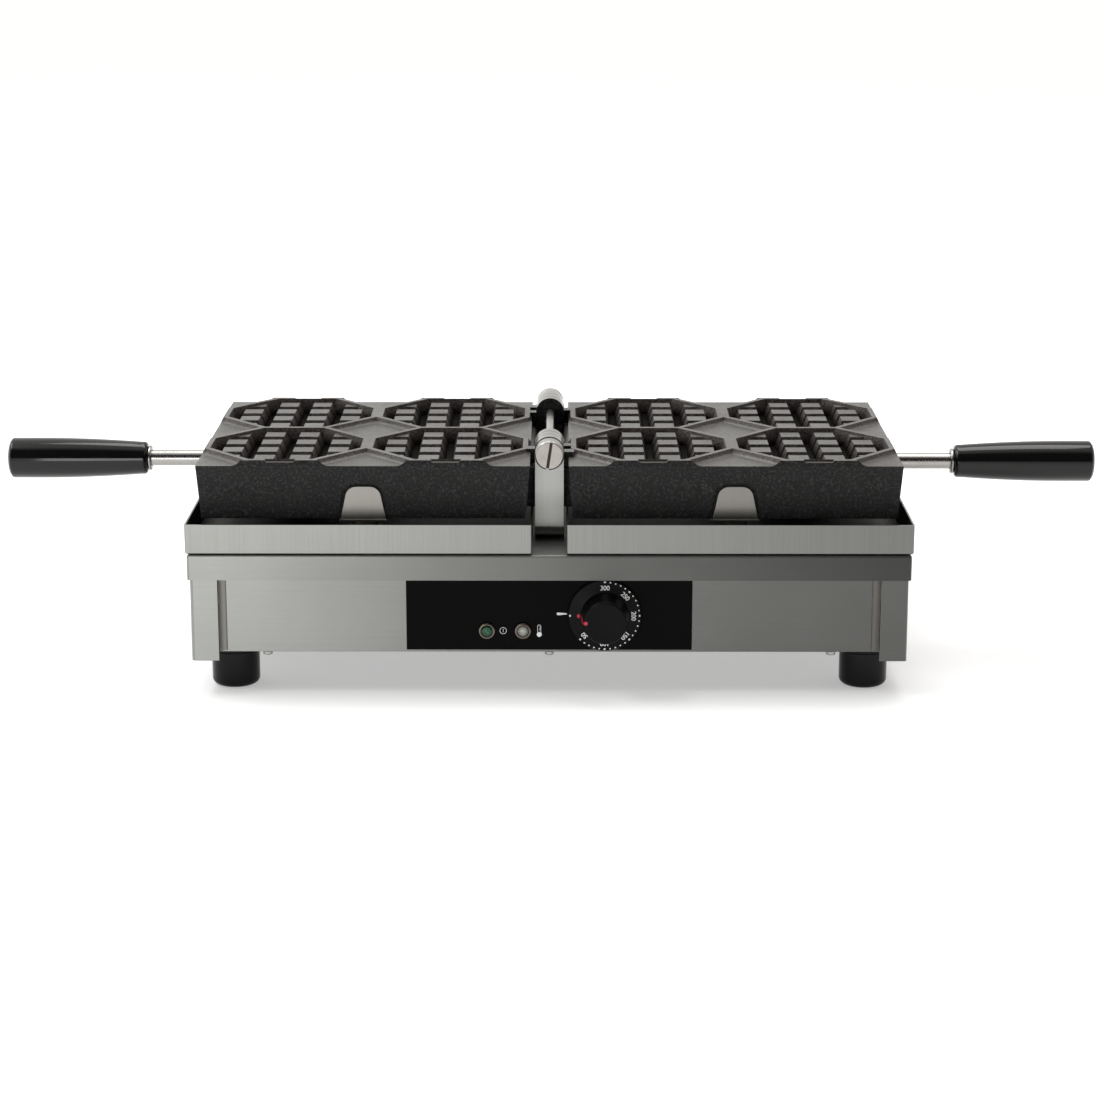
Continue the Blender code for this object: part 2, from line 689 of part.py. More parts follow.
def cavity_centres():
    dx, dy = CAVITY_OFFSET
    return [(PLATE_CENTRE_X + sx * dx, sy * dy) for sx in (-1, 1) for sy in (-1, 1)]


def octagon(centre, inset):
    """Outline of a cavity with two pairs of flats, all walls moved in by the inset."""
    (cx, cy), (hx, hy), (fx, fy) = centre, CAVITY_HALF, CAVITY_FLAT
    hx, hy = hx - inset, hy - inset
    fx, fy = fx - inset * 0.4, fy - inset * 0.4
    quarter = [(hx, fy), (fx, hy)]
    points = [(cx + x, cy + y) for x, y in quarter]
    points += [(cx - x, cy + y) for x, y in reversed(quarter)]
    points += [(cx - x, cy - y) for x, y in quarter]
    points += [(cx + x, cy - y) for x, y in reversed(quarter)]
    return points


def cavity_cutter(name):
    floor = PLATE_RIM - CAVITY_DEPTH
    above = PLATE_RIM + 2
    outset = -CAVITY_DRAFT * 2 / CAVITY_DEPTH
    lofts = [[(floor, octagon(centre, CAVITY_DRAFT)), (above, octagon(centre, outset))]
             for centre in cavity_centres()]
    cutter = add_cutter(name, loft_mesh(name, "Z", *lofts))
    studs = add_cutter(f"{name}_studs", stud_mesh(f"{name}_studs", floor))
    boolean(cutter, studs, "DIFFERENCE")
    return cutter, studs


def stud_mesh(name, floor):
    """Every stud as a four-sided frustum that starts below the cavity floor."""
    top = PLATE_RIM - STUD_BELOW_RIM
    below = 1.0
    growth = below / (top - floor)
    base = [b + (b - t) * growth for b, t in zip(STUD_BASE, STUD_TOP)]
    lofts = []
    for cx, cy in cavity_centres():
        for i in STUD_STEPS:
            for j in STUD_STEPS:
                centre = (cx + i * STUD_PITCH[0], cy + j * STUD_PITCH[1])
                lofts.append([(floor - below, rectangle(centre, base)), (top, rectangle(centre, STUD_TOP))])
    return loft_mesh(name, "Z", *lofts)


def lozenge_half_diagonals(inset):
    """Half-diagonals of the low field between four cavities, its sides moved in by the inset."""
    (dx, dy), (hx, hy), (fx, fy) = CAVITY_OFFSET, CAVITY_HALF, CAVITY_FLAT
    first = Vector((dx - fx, dy - hy))
    second = Vector((dx - hx, dy - fy))
    along = (second - first).normalized()
    normal = Vector((along.y, -along.x))
    reach = normal.dot(first) - DIAGONAL_RIM - inset
    return reach / normal.x, reach / normal.y


def lozenge_wall():
    """The low field's side from its floor up, as (height, inset): a fillet, then a steady slope."""
    rise = PLATE_RIM - PLATE_LOW_LEVEL
    slope = LOZENGE_SLOPE / rise
    above = 1.5
    wall = []
    for angle in (0, 30, 60, 90):
        height = LOZENGE_FILLET * (1 - math.cos(math.radians(angle)))
        round_off = LOZENGE_FILLET * (1 - math.sin(math.radians(angle)))
        wall.append((height, LOZENGE_SLOPE - slope * height + round_off))
    wall.append((rise + above, -above * slope))
    return wall


def lozenge_cutter(name):
    pitch_x, pitch_y = (2 * offset for offset in CAVITY_OFFSET)
    lofts = []
    for i in (-1, 0, 1):
        for j in (-1, 0, 1):
            centre = (PLATE_CENTRE_X + i * pitch_x, j * pitch_y)
            lofts.append([(PLATE_LOW_LEVEL + height, lozenge(centre, inset))
                          for height, inset in lozenge_wall()])
    return add_cutter(name, loft_mesh(name, "Z", *lofts))


def lozenge(centre, inset):
    (cx, cy), (a, b) = centre, lozenge_half_diagonals(inset)
    return [(cx + a, cy), (cx, cy + b), (cx - a, cy), (cx, cy - b)]


def knuckle_outline():
    """Hinge eye with its arm, seen along Y, as (x, z) points."""
    arm_top = PLATE_RIM - HINGE_Z - 0.1
    start = math.degrees(math.asin(arm_top / KNUCKLE_RADIUS))
    eye = arc(KNUCKLE_RADIUS, (0, HINGE_Z), start, 270, 22)
    root_x = PLATE_CENTRE_X - PLATE_HALF + PLATE_DRAFT + 1
    return [(root_x, HINGE_Z + arm_top), *eye, (root_x, HINGE_Z - KNUCKLE_RADIUS)]


def knuckle_tool(name):
    lofts = [[(low, knuckle_outline()), (high, knuckle_outline())] for low, high in RIGHT_KNUCKLES]
    return add_cutter(name, loft_mesh(name, "Y", *lofts))


def notch_cutter(name):
    """Steam notches in the rim in front of and behind the cavities."""
    lofts = []
    above = 1.0
    run = NOTCH_DEPTH + above
    for cx in (PLATE_CENTRE_X - CAVITY_OFFSET[0], PLATE_CENTRE_X + CAVITY_OFFSET[0]):
        for side in (-1, 1):
            centre = (cx, side * (PLATE_HALF + 2 - NOTCH_REACH / 2))
            span = rectangle(centre, (NOTCH_HALF - NOTCH_DEPTH, NOTCH_REACH / 2))
            wide = rectangle(centre, (NOTCH_HALF - NOTCH_DEPTH + run, NOTCH_REACH / 2))
            lofts.append([(PLATE_RIM - NOTCH_DEPTH, span), (PLATE_RIM + above, wide)])
    return add_cutter(name, loft_mesh(name, "Z", *lofts))


def bell_outline(margin):
    """The clip tongue's outline grown by a margin, as (x, z): a trapezoid with round shoulders."""
    base = PLATE_BOTTOM - GAP - CLIP_SHEET - margin
    top = CLIP_TOP + margin
    half_base, half_top = CLIP_HALF + margin, CLIP_TOP_HALF + margin
    radius = CLIP_ROUNDING + margin
    slope = math.atan2(half_base - half_top, top - base)
    height = top - radius
    side_x = half_base + (half_top - half_base) * (height - base) / (top - base)
    centre_x = side_x - radius / math.cos(slope)
    right = arc(radius, (centre_x, height), math.degrees(slope), 90, 7)
    outline = [(half_base, base), *right]
    return [(PLATE_CENTRE_X + x, z) for x, z in outline + [(-x, z) for x, z in reversed(outline)]]


def recess_cutter(name, side):
    y_low, y_high = sorted((side * RECESS_FACE, side * (PLATE_HALF + OVERCUT)))
    return add_cutter(name, prism_mesh(name, "Y", bell_outline(RECESS_MARGIN), y_low, y_high))


def build_casting(hand):
    blank = loft_mesh(f"{hand}_plate", "Z",
                      [(PLATE_BOTTOM, plate_ring(PLATE_HALF - PLATE_DRAFT)),
                       (PLATE_LOW_LEVEL + 0.1, plate_ring(PLATE_HALF)),
                       (PLATE_RIM, plate_ring(PLATE_HALF - RIM_SET_BACK))])
    casting = add_part(f"{hand}_plate", blank, "cast_iron")
    lozenges = lozenge_cutter(f"{hand}_lozenges")
    knuckles = knuckle_tool(f"{hand}_knuckles")
    bore = round_hole(f"{hand}_bore", "Y", (0, HINGE_Z), BORE_RADIUS, -100, 100)
    cavities, studs = cavity_cutter(f"{hand}_cavities")
    hollow_low = (PLATE_CENTRE_X - HOLLOW_HALF, -HOLLOW_HALF, PLATE_BOTTOM - OVERCUT)
    hollow_high = (PLATE_CENTRE_X + HOLLOW_HALF, HOLLOW_HALF, HOLLOW_ROOF)
    hollow = add_cutter(f"{hand}_hollow", box_mesh(f"{hand}_hollow", hollow_low, hollow_high))
    notches = notch_cutter(f"{hand}_notches")
    recesses = [recess_cutter(f"{hand}_recess_{side}", side) for side in (-1, 1)]
    socket = round_hole(f"{hand}_rod_socket", "X", (HANDLE_Y, HANDLE_Z), HANDLE_ROD_RADIUS + GAP,
                        PLATE_CENTRE_X + HOLLOW_HALF - OVERCUT, PLATE_CENTRE_X + PLATE_HALF + OVERCUT)
    boolean(casting, lozenges, "DIFFERENCE")
    boolean(casting, knuckles, "UNION")
    for cutter in (bore, cavities, hollow, notches, *recesses, socket):
        boolean(casting, cutter, "DIFFERENCE")
    return [casting, lozenges, knuckles, bore, cavities, studs, hollow, notches, *recesses, socket]


def build_clip(hand, end, side):
    """Cover clip: a tongue in the wall's recess and a flange under the plate, with its nut."""
    top = PLATE_BOTTOM - GAP
    name = f"{hand}_{end}_clip"
    y_low, y_high = sorted((side * (CLIP_FACE - CLIP_SHEET), side * CLIP_FACE))
    tongue = prism_mesh(name, "Y", bell_outline(0.0), y_low, y_high)
    clip = add_part(name, tongue, "stainless")
    y_low, y_high = sorted((side * (CLIP_NUT_Y - CLIP_NUT_RADIUS), side * (CLIP_FACE + CLIP_LIP)))
    flange_low = (PLATE_CENTRE_X - CLIP_FLANGE_HALF, y_low, top - CLIP_FLANGE_SHEET)
    flange_high = (PLATE_CENTRE_X + CLIP_FLANGE_HALF, y_high, top)
    flange = add_cutter(f"{name}_flange", box_mesh(f"{name}_flange", flange_low, flange_high))
    boolean(clip, flange, "UNION")
    hole = round_hole(f"{name}_hole", "Z", (PLATE_CENTRE_X, side * CLIP_NUT_Y),
                      CLIP_STUD_RADIUS + GAP, top - OVERCUT, top + OVERCUT)
    boolean(clip, hole, "DIFFERENCE")
    seat = top - CLIP_FLANGE_SHEET - GAP
    tip = COVER_BOTTOM - GAP
    face = seat - CLIP_NUT_HEIGHT
    profile = [(0, tip), (CLIP_STUD_RADIUS, tip), (CLIP_STUD_RADIUS, seat), (CLIP_NUT_RADIUS, seat),
               (CLIP_NUT_RADIUS, face + CLIP_NUT_CHAMFER), (CLIP_NUT_RADIUS - CLIP_NUT_CHAMFER, face),
               (0, face)]
    nut = turned(f"{hand}_{end}_clip_nut", profile, (PLATE_CENTRE_X, side * CLIP_NUT_Y, 0), (0, 0, 1),
                 "bright_steel", 16)
    return [clip, flange, hole, nut]


def element_route():
    """Serpentine of straight legs joined by half-circle bends, as (x, y) points."""
    points = [(PLATE_CENTRE_X - ELEMENT_REACH, ELEMENT_LEGS[0])]
    for i, (low, high) in enumerate(zip(ELEMENT_LEGS, ELEMENT_LEGS[1:])):
        direction = 1 if i % 2 == 0 else -1
        centre = (PLATE_CENTRE_X + direction * ELEMENT_REACH, (low + high) / 2)
        turn = [-90, 90] if direction > 0 else [270, 90]
        points += arc((high - low) / 2, centre, turn[0], turn[1], 7)
    points.append((PLATE_CENTRE_X - ELEMENT_REACH, ELEMENT_LEGS[-1]))
    return points


def build_element(hand):
    curve = bpy.data.curves.new(f"{hand}_heating_element", "CURVE")
    curve.dimensions = "3D"
    curve.bevel_depth = ELEMENT_RADIUS * MM
    curve.bevel_resolution = 2
    curve.use_fill_caps = True
    route = element_route()
    spline = curve.splines.new("POLY")
    spline.points.add(len(route) - 1)
    for point, (x, y) in zip(spline.points, route):
        point.co = (x * MM, y * MM, ELEMENT_Z * MM, 1.0)
    return add_part(f"{hand}_heating_element", curve, "bright_steel")


def build_cover(hand):
    half = HOLLOW_HALF - GAP
    low = (PLATE_CENTRE_X - half, -half, COVER_BOTTOM)
    high = (PLATE_CENTRE_X + half, half, COVER_BOTTOM + COVER_SHEET)
    return add_part(f"{hand}_element_cover", box_mesh(f"{hand}_element_cover", low, high), "stainless")


def build_handle(hand):
    rod_low = PLATE_CENTRE_X + HOLLOW_HALF + 1
    rod_high = GRIP_OUTER - 14
    rod = rod_part(f"{hand}_handle_rod", "X", (HANDLE_Y, HANDLE_Z), HANDLE_ROD_RADIUS, rod_low,
                   rod_high, "bright_steel")
    bore = HANDLE_ROD_RADIUS + GAP
    outer_end = arc(7.0, (GRIP_OUTER_RADIUS - 7.0, GRIP_OUTER - 7.0), 90, 0, 5)
    inner_end = arc(3.0, (GRIP_INNER_RADIUS - 3.0, GRIP_INNER + 3.0), 0, -90, 3)
    profile = [(0, GRIP_OUTER), *outer_end, (GRIP_OUTER_RADIUS, GRIP_OUTER - 30), *inner_end,
               (bore, GRIP_INNER), (bore, rod_high + GAP), (0, rod_high + GAP)]
    grip = turned(f"{hand}_handle_grip", profile, (0, HANDLE_Y, HANDLE_Z), (1, 0, 0), "black_plastic")
    ring_high = GRIP_INNER - GAP
    ring_low = ring_high - 2.6
    ring = [(bore, ring_high), (9.6, ring_high), (9.6, ring_low), (bore, ring_low)]
    ferrule = turned(f"{hand}_handle_ferrule", ring, (0, HANDLE_Y, HANDLE_Z), (1, 0, 0),
                     "bright_steel", 16, closed=True)
    return [rod, grip, ferrule]


def build_plate_set(hand, turn):
    """One plate with all it carries; the left set is the right one turned half round."""
    axis_empty = add_empty(f"{hand}_plate_hinge", (0, 0, HINGE_Z))
    axis_empty.rotation_euler = (0, 0, math.radians(turn))
    pieces = build_casting(hand)
    pieces.append(build_element(hand))
    pieces.append(build_cover(hand))
    ends = (("front", -1), ("rear", 1)) if turn == 0 else (("rear", -1), ("front", 1))
    for end, side in ends:
        pieces += build_clip(hand, end, side)
    pieces += build_handle(hand)
    for piece in pieces:
        attach(piece, axis_empty)


def main():
    build_casing()
    build_side_panel("left_side_panel", -1)
    build_side_panel("right_side_panel", 1)
    build_front_panel()
    build_rear_panel()
    build_bottom_plate()
    build_bottom_screws()
    build_feet()
    build_lamps()
    build_knob(add_empty("knob_axis", (KNOB_X, -LABEL_FACE, KNOB_Z)))
    build_thermostat()
    build_terminal_block()
    build_cable_gland()
    build_hinge()
    tray_middle = (TRAY_INNER_X + TRAY_OUTER_X) / 2
    for hand, side in (("left", -1), ("right", 1)):
        slide = add_empty(f"{hand}_tray_slide", (side * tray_middle, 0, TRAY_BOTTOM))
        build_tray(f"{hand}_drip_tray", side, slide)
        build_rest(f"{hand}_plate_rest", side)
    build_plate_set("right", 0)
    build_plate_set("left", 180)


main()
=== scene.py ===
"""Looks of the open double-plate waffle iron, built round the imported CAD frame."""
import json
import math

import bmesh
import bpy
from mathutils import Matrix, Vector


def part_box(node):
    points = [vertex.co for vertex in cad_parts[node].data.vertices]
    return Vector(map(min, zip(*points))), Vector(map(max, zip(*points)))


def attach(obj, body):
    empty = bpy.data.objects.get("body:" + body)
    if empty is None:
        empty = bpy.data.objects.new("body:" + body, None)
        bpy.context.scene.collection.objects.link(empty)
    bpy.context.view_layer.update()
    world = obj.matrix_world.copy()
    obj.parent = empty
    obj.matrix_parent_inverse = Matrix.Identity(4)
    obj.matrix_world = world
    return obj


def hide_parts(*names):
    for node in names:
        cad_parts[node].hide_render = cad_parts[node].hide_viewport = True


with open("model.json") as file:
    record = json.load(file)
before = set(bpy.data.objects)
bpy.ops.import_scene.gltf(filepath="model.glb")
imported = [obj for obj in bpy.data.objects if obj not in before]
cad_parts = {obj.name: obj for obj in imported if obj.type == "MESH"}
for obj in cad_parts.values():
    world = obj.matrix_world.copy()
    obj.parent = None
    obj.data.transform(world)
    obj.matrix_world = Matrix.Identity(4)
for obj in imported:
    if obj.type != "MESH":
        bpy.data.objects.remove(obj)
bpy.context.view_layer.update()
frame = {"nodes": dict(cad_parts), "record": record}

NODES = frame["nodes"]
MM = 0.001

# Air between a shaft and its bore in the turned pieces
CLEARANCE = 0.0003

# Camera: a long lens a little above the plates, level left to right
CAMERA_PLACE = (0.0075, -2.0584, 0.5901)
CAMERA_AIM = (0.00044, -0.100, 0.0985)
CAMERA_LENS = 90.6

# Tints that grey levels are multiplied by
STEEL_TINT = (0.985, 1.0, 0.955)
WARM_STEEL_TINT = (1.05, 1.0, 0.93)
# rust brown, also the hue of the painted shade in the trays and cavities
RUST_AND_SHADE_TINT = (1.22, 1.0, 0.94)

# Colours of the oxide on the heater tubes
BLUE_OXIDE = (0.10, 0.10, 0.11, 1)
STRAW_OXIDE = (0.22, 0.17, 0.11, 1)

# Half the width over which front faces get painted shade, darker to the right
PAINTED_FALLOFF_HALF = 0.24

# Slots of the hinge screws, with their tilt in degrees
SCREW_SLOT = 0.0022
SCREW_SLOT_DEPTH = 0.0016
SCREW_SLOT_TILT = 8.6

# Studio: the tent's brightness and colour at the left and right, where the dark room in front
# begins, and half the side of a floor that reaches the horizon
TENT_LEFT_RIGHT = (1.5, 0.7)
LEFT_LIGHT = (0.98, 1.0, 0.97, 1)
RIGHT_LIGHT = (1.0, 0.96, 0.92, 1)
DARK_FRONT = (-0.55, -0.25)
DARK_ABOVE = (0.08, 0.16)
ROOM_LEVEL = 0.02
FLOOR_GLOW = 0.38
FLOOR_HALF = 90.0

# Knob, in metres from its back face: a numbered skirt and a hub
HUB_BASE = 0.0171
HUB_FRONT = 0.0157
HUB_EDGE = 0.0016
SKIRT_TOP = 0.0034
SKIRT_EDGE = 0.0024
SKIRT_INNER = 0.0188
SKIRT_OUTER = 0.026
DOT_RADIUS = 0.0249
NUMBER_RADIUS = 0.0206
NUMBER_SIZE = 0.0048

# Dial in degrees Celsius: its range, the step between numbers, and how far it turns per degree
DIAL_START, DIAL_END, DIAL_STEP = 50, 300, 50
DIAL_TURN = 0.9
ZERO_ANGLE = 180.0

# Label print, and how far an icon stands to the right of its lamp
INK_GAP = 0.00001
INK_THICKNESS = 0.00008
ICON_LINE = 0.00030
ICON_RIGHT = 0.0118

# Places on the plates, trays and hinge screws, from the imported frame
PLATE_LOW, PLATE_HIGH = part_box("right_plate")
JOINTS = {joint["name"]: joint for joint in frame["record"]["behaviour"]["joints"]}
HINGE_Z = JOINTS["right_plate_fold"]["pos_m"][2]
PLATE_HALF = (PLATE_HIGH.y - PLATE_LOW.y) / 2
PLATE_CENTRE_X = PLATE_HIGH.x - PLATE_HALF
PLATE_LOW_WALL = PLATE_CENTRE_X - PLATE_HALF + 0.0020
CAVITY_FLOOR = HINGE_Z - 0.0122
TRAY_LOW, TRAY_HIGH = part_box("right_drip_tray")
SCREW_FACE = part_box("rear_hinge_screw")[1].y
SCREW_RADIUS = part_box("rear_hinge_screw")[1].x

# Castings: where the waffle pattern begins in height, and the hinge eyes with their ends along the axis
FIELD_LOW = 0.154
KNUCKLE_RADIUS = 0.0110
EYE_REACH = KNUCKLE_RADIUS + 0.0002
KNUCKLE_ENDS = (0.0577, 0.0672, 0.0782, 0.0888)


# ---------------------------------------------------------------- shader helpers

def new_material(name):
    material = bpy.data.materials.new(name)
    material.use_nodes = True
    material.node_tree.nodes.clear()
    return material, material.node_tree


def connect(tree, socket, value):
    """Link a value that is a socket, and set any other as the socket's own."""
    if isinstance(value, bpy.types.NodeSocket):
        tree.links.new(value, socket)
    else:
        socket.default_value = value


def add(tree, kind, inputs=None, **settings):
    """Add a shader node with its settings and inputs."""
    node = tree.nodes.new(kind)
    for key, value in settings.items():
        setattr(node, key, value)
    for key, value in (inputs or {}).items():
        connect(tree, node.inputs[key], value)
    return node


def math_node(tree, operation, first, second=0.0):
    return add(tree, "ShaderNodeMath", {0: first, 1: second}, operation=operation).outputs[0]


def product(tree, *factors):
    result = factors[0]
    for factor in factors[1:]:
        result = math_node(tree, "MULTIPLY", result, factor)
    return result


def size_of(tree, value):
    return math_node(tree, "ABSOLUTE", value)


def distance(tree, first, second):
    """How far the point (first, second) is from the origin."""
    squares = math_node(tree, "ADD", product(tree, first, first), product(tree, second, second))
    return math_node(tree, "SQRT", squares)


def parts_of(tree, vector):
    """The three parts of a vector, as sockets."""
    return add(tree, "ShaderNodeSeparateXYZ", {0: vector}).outputs


def remap(tree, value, low, high, out_low, out_high):
    inputs = {"Value": value, "From Min": low, "From Max": high, "To Min": out_low, "To Max": out_high}
    return add(tree, "ShaderNodeMapRange", inputs).outputs[0]


def inside(tree, value, centre, half, soft=0.0004):
    """One where a coordinate's size lies within half of the centre, falling to nought outside."""
    offset = size_of(tree, math_node(tree, "SUBTRACT", size_of(tree, value), centre))
    return remap(tree, offset, half - soft, half + soft, 1.0, 0.0)


def place_in_object(tree):
    return add(tree, "ShaderNodeTexCoord").outputs["Object"]


def normal_in_object(tree):
    return add(tree, "ShaderNodeTexCoord").outputs["Normal"]


def scaled(tree, vector, scale):
    return add(tree, "ShaderNodeVectorMath", {0: vector, 1: scale}, operation="MULTIPLY").outputs[0]


def noise(tree, vector, scale, detail, roughness):
    inputs = {"Vector": vector, "Scale": scale, "Detail": detail, "Roughness": roughness}
    return add(tree, "ShaderNodeTexNoise", inputs).outputs[0]


def mix_colours(tree, factor, first, second):
    mixer = add(tree, "ShaderNodeMix", data_type="RGBA")
    for index, value in ((0, factor), (6, first), (7, second)):
        connect(tree, mixer.inputs[index], value)
    return mixer.outputs[2]


def bump(tree, height, strength, distance):
    inputs = {"Height": height, "Strength": strength, "Distance": distance}
    return add(tree, "ShaderNodeBump", inputs).outputs[0]


def surface(tree, inputs):
    shader = add(tree, "ShaderNodeBsdfPrincipled", inputs)
    add(tree, "ShaderNodeOutputMaterial", {"Surface": shader.outputs[0]})


def grey(value, warm=0.0):
    return (value * (1 + warm), value, value * (1 - warm), 1.0)


def tint(value, colour):
    """A grey level in one of the tints above."""
    return tuple(value * channel for channel in colour) + (1.0,)


def upness(tree):
    """How far a face looks up or down in its own object's frame, from 0 to 1."""
    return size_of(tree, parts_of(tree, normal_in_object(tree))[2])


# ---------------------------------------------------------------- materials

def right_falloff(tree, place, darkest):
    """Painted shade on a front face from left to right: level one at the left, darkest at the right
    end.
    """
    facing = remap(tree, parts_of(tree, normal_in_object(tree))[1], -0.8, -0.5, 1.0, 0.0)
    fall = remap(tree, parts_of(tree, place)[0], -PAINTED_FALLOFF_HALF, PAINTED_FALLOFF_HALF, 0.0, 1.0 - darkest)
    return math_node(tree, "SUBTRACT", 1.0, product(tree, fall, facing))


def scaled_colour(tree, colour, factor):
    return mix_colours(tree, factor, (0.0, 0.0, 0.0, 1.0), colour)


def grinding_direction(tree, upright, flat):
    """Texture scale that draws the grinding lines out, and the direction across them."""
    across_lines, along_lines = 2600.0, 14.0
    if upright:
        y_scale = remap(tree, flat, 0.0, 1.0, across_lines, along_lines)
        scale = {0: across_lines, 1: y_scale, 2: along_lines}
        across = {0: 1.0, 1: math_node(tree, "SUBTRACT", 1.0, flat), 2: 0.0}
    else:
        y_scale = remap(tree, flat, 0.0, 1.0, along_lines, across_lines)
        scale = {0: along_lines, 1: y_scale, 2: across_lines}
        across = {0: 0.0, 1: flat, 2: 1.0}
    return [add(tree, "ShaderNodeCombineXYZ", inputs).outputs[0] for inputs in (scale, across)]


def brushed_steel(name, upright, level, roughness=0.34, colour=STEEL_TINT, *, darkest, contrast=0.05,
                  painted_tray_shade=False):
    """Sheet steel with fine grinding lines, level or upright on the walls.

    Front faces get painted shade, falling to the darkest share of their level at the right. For a tray,
    its inside and its walls by the hinge get painted shade too.
    """
    material, tree = new_material(name)
    flat = remap(tree, upness(tree), 0.4, 0.6, 0.0, 1.0)
    scale, spread = grinding_direction(tree, upright, flat)
    place = place_in_object(tree)
    lines = noise(tree, scaled(tree, place, scale), 1.0, 3.0, 0.6)
    scratches = noise(tree, scaled(tree, place, scale), 0.31, 2.0, 0.5)
    stains = noise(tree, place, 9.0, 3.0, 0.6)
    streaks = math_node(tree, "ADD", lines, product(tree, scratches, 0.5))
    dark, light = tint(level * (1 - contrast), colour), tint(level * (1 + contrast), colour)
    base = mix_colours(tree, remap(tree, streaks, 0.55, 0.95, 0.0, 1.0), dark, light)
    base = mix_colours(tree, remap(tree, stains, 0.35, 0.75, 0.0, 0.10), base,
                       tint(level * 0.7, colour))
    # painted shade: front faces darker towards the right
    base = scaled_colour(tree, base, right_falloff(tree, place, darkest))
    metal, gloss = 1.0, 0.5
    if painted_tray_shade:
        # painted shade inside the trays and on their walls by the hinge: near black, dull and not
        # metallic
        painted_shade = math_node(tree, "MAXIMUM", tray_inside(tree, place), hinge_channel(tree, place))
        base = mix_colours(tree, painted_shade, base, tint(0.018, RUST_AND_SHADE_TINT))
        metal = math_node(tree, "SUBTRACT", 1.0, painted_shade)
        gloss = remap(tree, painted_shade, 0.0, 1.0, 0.5, 0.06)
    rough = remap(tree, streaks, 0.5, 1.0, roughness - 0.03, roughness + 0.04)
    rough = math_node(tree, "ADD", rough, remap(tree, stains, 0.4, 0.7, 0.0, 0.04))
    surface(tree, {"Base Color": base, "Metallic": metal, "Specular IOR Level": gloss,
                   "Roughness": rough, "Anisotropic": 0.75,
                   "Tangent": spread, "Normal": bump(tree, lines, 0.06, 0.00002)})
    return material


def hinge_channel(tree, place):
    """One on the tray walls that face the hinge, which get painted shade."""
    near = inside(tree, parts_of(tree, place)[0], 0.0, TRAY_LOW.x + 0.0005)
    sideways = size_of(tree, parts_of(tree, normal_in_object(tree))[0])
    return product(tree, near, remap(tree, sideways, 0.6, 0.9, 0.0, 1.0))


def tray_inside(tree, place):
    """One on the inside of either drip tray, which gets painted shade; nought on the trays' outer
    walls.
    """
    x, y, z = parts_of(tree, place)
    centre, half = (TRAY_LOW + TRAY_HIGH) / 2, (TRAY_HIGH - TRAY_LOW) / 2
    skin, soft = 0.0010, 0.0001
    in_width = inside(tree, size_of(tree, x), centre.x, half.x - skin, soft)
    in_depth = inside(tree, y, centre.y, half.y - skin, soft)
    below_rim = remap(tree, z, TRAY_HIGH.z - 0.0010, TRAY_HIGH.z - 0.0004, 1.0, 0.0)
    above_sole = remap(tree, z, TRAY_LOW.z + 0.0004, TRAY_LOW.z + 0.0008, 0.0, 1.0)
    return product(tree, product(tree, in_width, in_depth), product(tree, below_rim, above_sole))


def hinge_reach(tree, place):
    """Distance from the hinge's axis."""
    x, _, z = parts_of(tree, place)
    return distance(tree, x, math_node(tree, "SUBTRACT", z, HINGE_Z))


def hinge_eyes(tree, place):
    """One on the round faces of the hinge arms' eyes, nought on their ends and elsewhere."""
    facing = size_of(tree, parts_of(tree, normal_in_object(tree))[1])
    return product(tree, remap(tree, hinge_reach(tree, place), EYE_REACH, EYE_REACH + 0.0003, 1.0, 0.0),
                   remap(tree, facing, 0.4, 0.7, 1.0, 0.0))


def turned_eyes(tree, place):
    """Bright turned steel with painted shade in the groove wherever two eyes meet."""
    rings = noise(tree, scaled(tree, place, (0.0, 900.0, 0.0)), 1.0, 2.0, 0.5)
    colour = mix_colours(tree, remap(tree, rings, 0.42, 0.58, 0.0, 1.0), grey(0.14, 0.02),
                         grey(0.24, 0.02))
    along = size_of(tree, parts_of(tree, place)[1])
    # painted shade in the gaps between neighbouring eyes
    for end in KNUCKLE_ENDS:
        colour = mix_colours(tree, inside(tree, along, end, 0.0007, 0.0003), colour, grey(0.012))
    return colour


def waffle_field(tree, place):
    """Two masks: the whole patterned field of a plate, and the bottoms of its cavities that get painted
    shade.
    """
    x, y, z = parts_of(tree, place)
    half = PLATE_HALF - 0.003
    field = product(tree, inside(tree, y, 0.0, half), inside(tree, x, PLATE_CENTRE_X, half),
                    remap(tree, z, FIELD_LOW, FIELD_LOW + 0.0025, 0.0, 1.0))
    depth = remap(tree, z, CAVITY_FLOOR + 0.001, CAVITY_FLOOR + 0.009, 1.0, 0.0)
    return field, product(tree, field, depth)


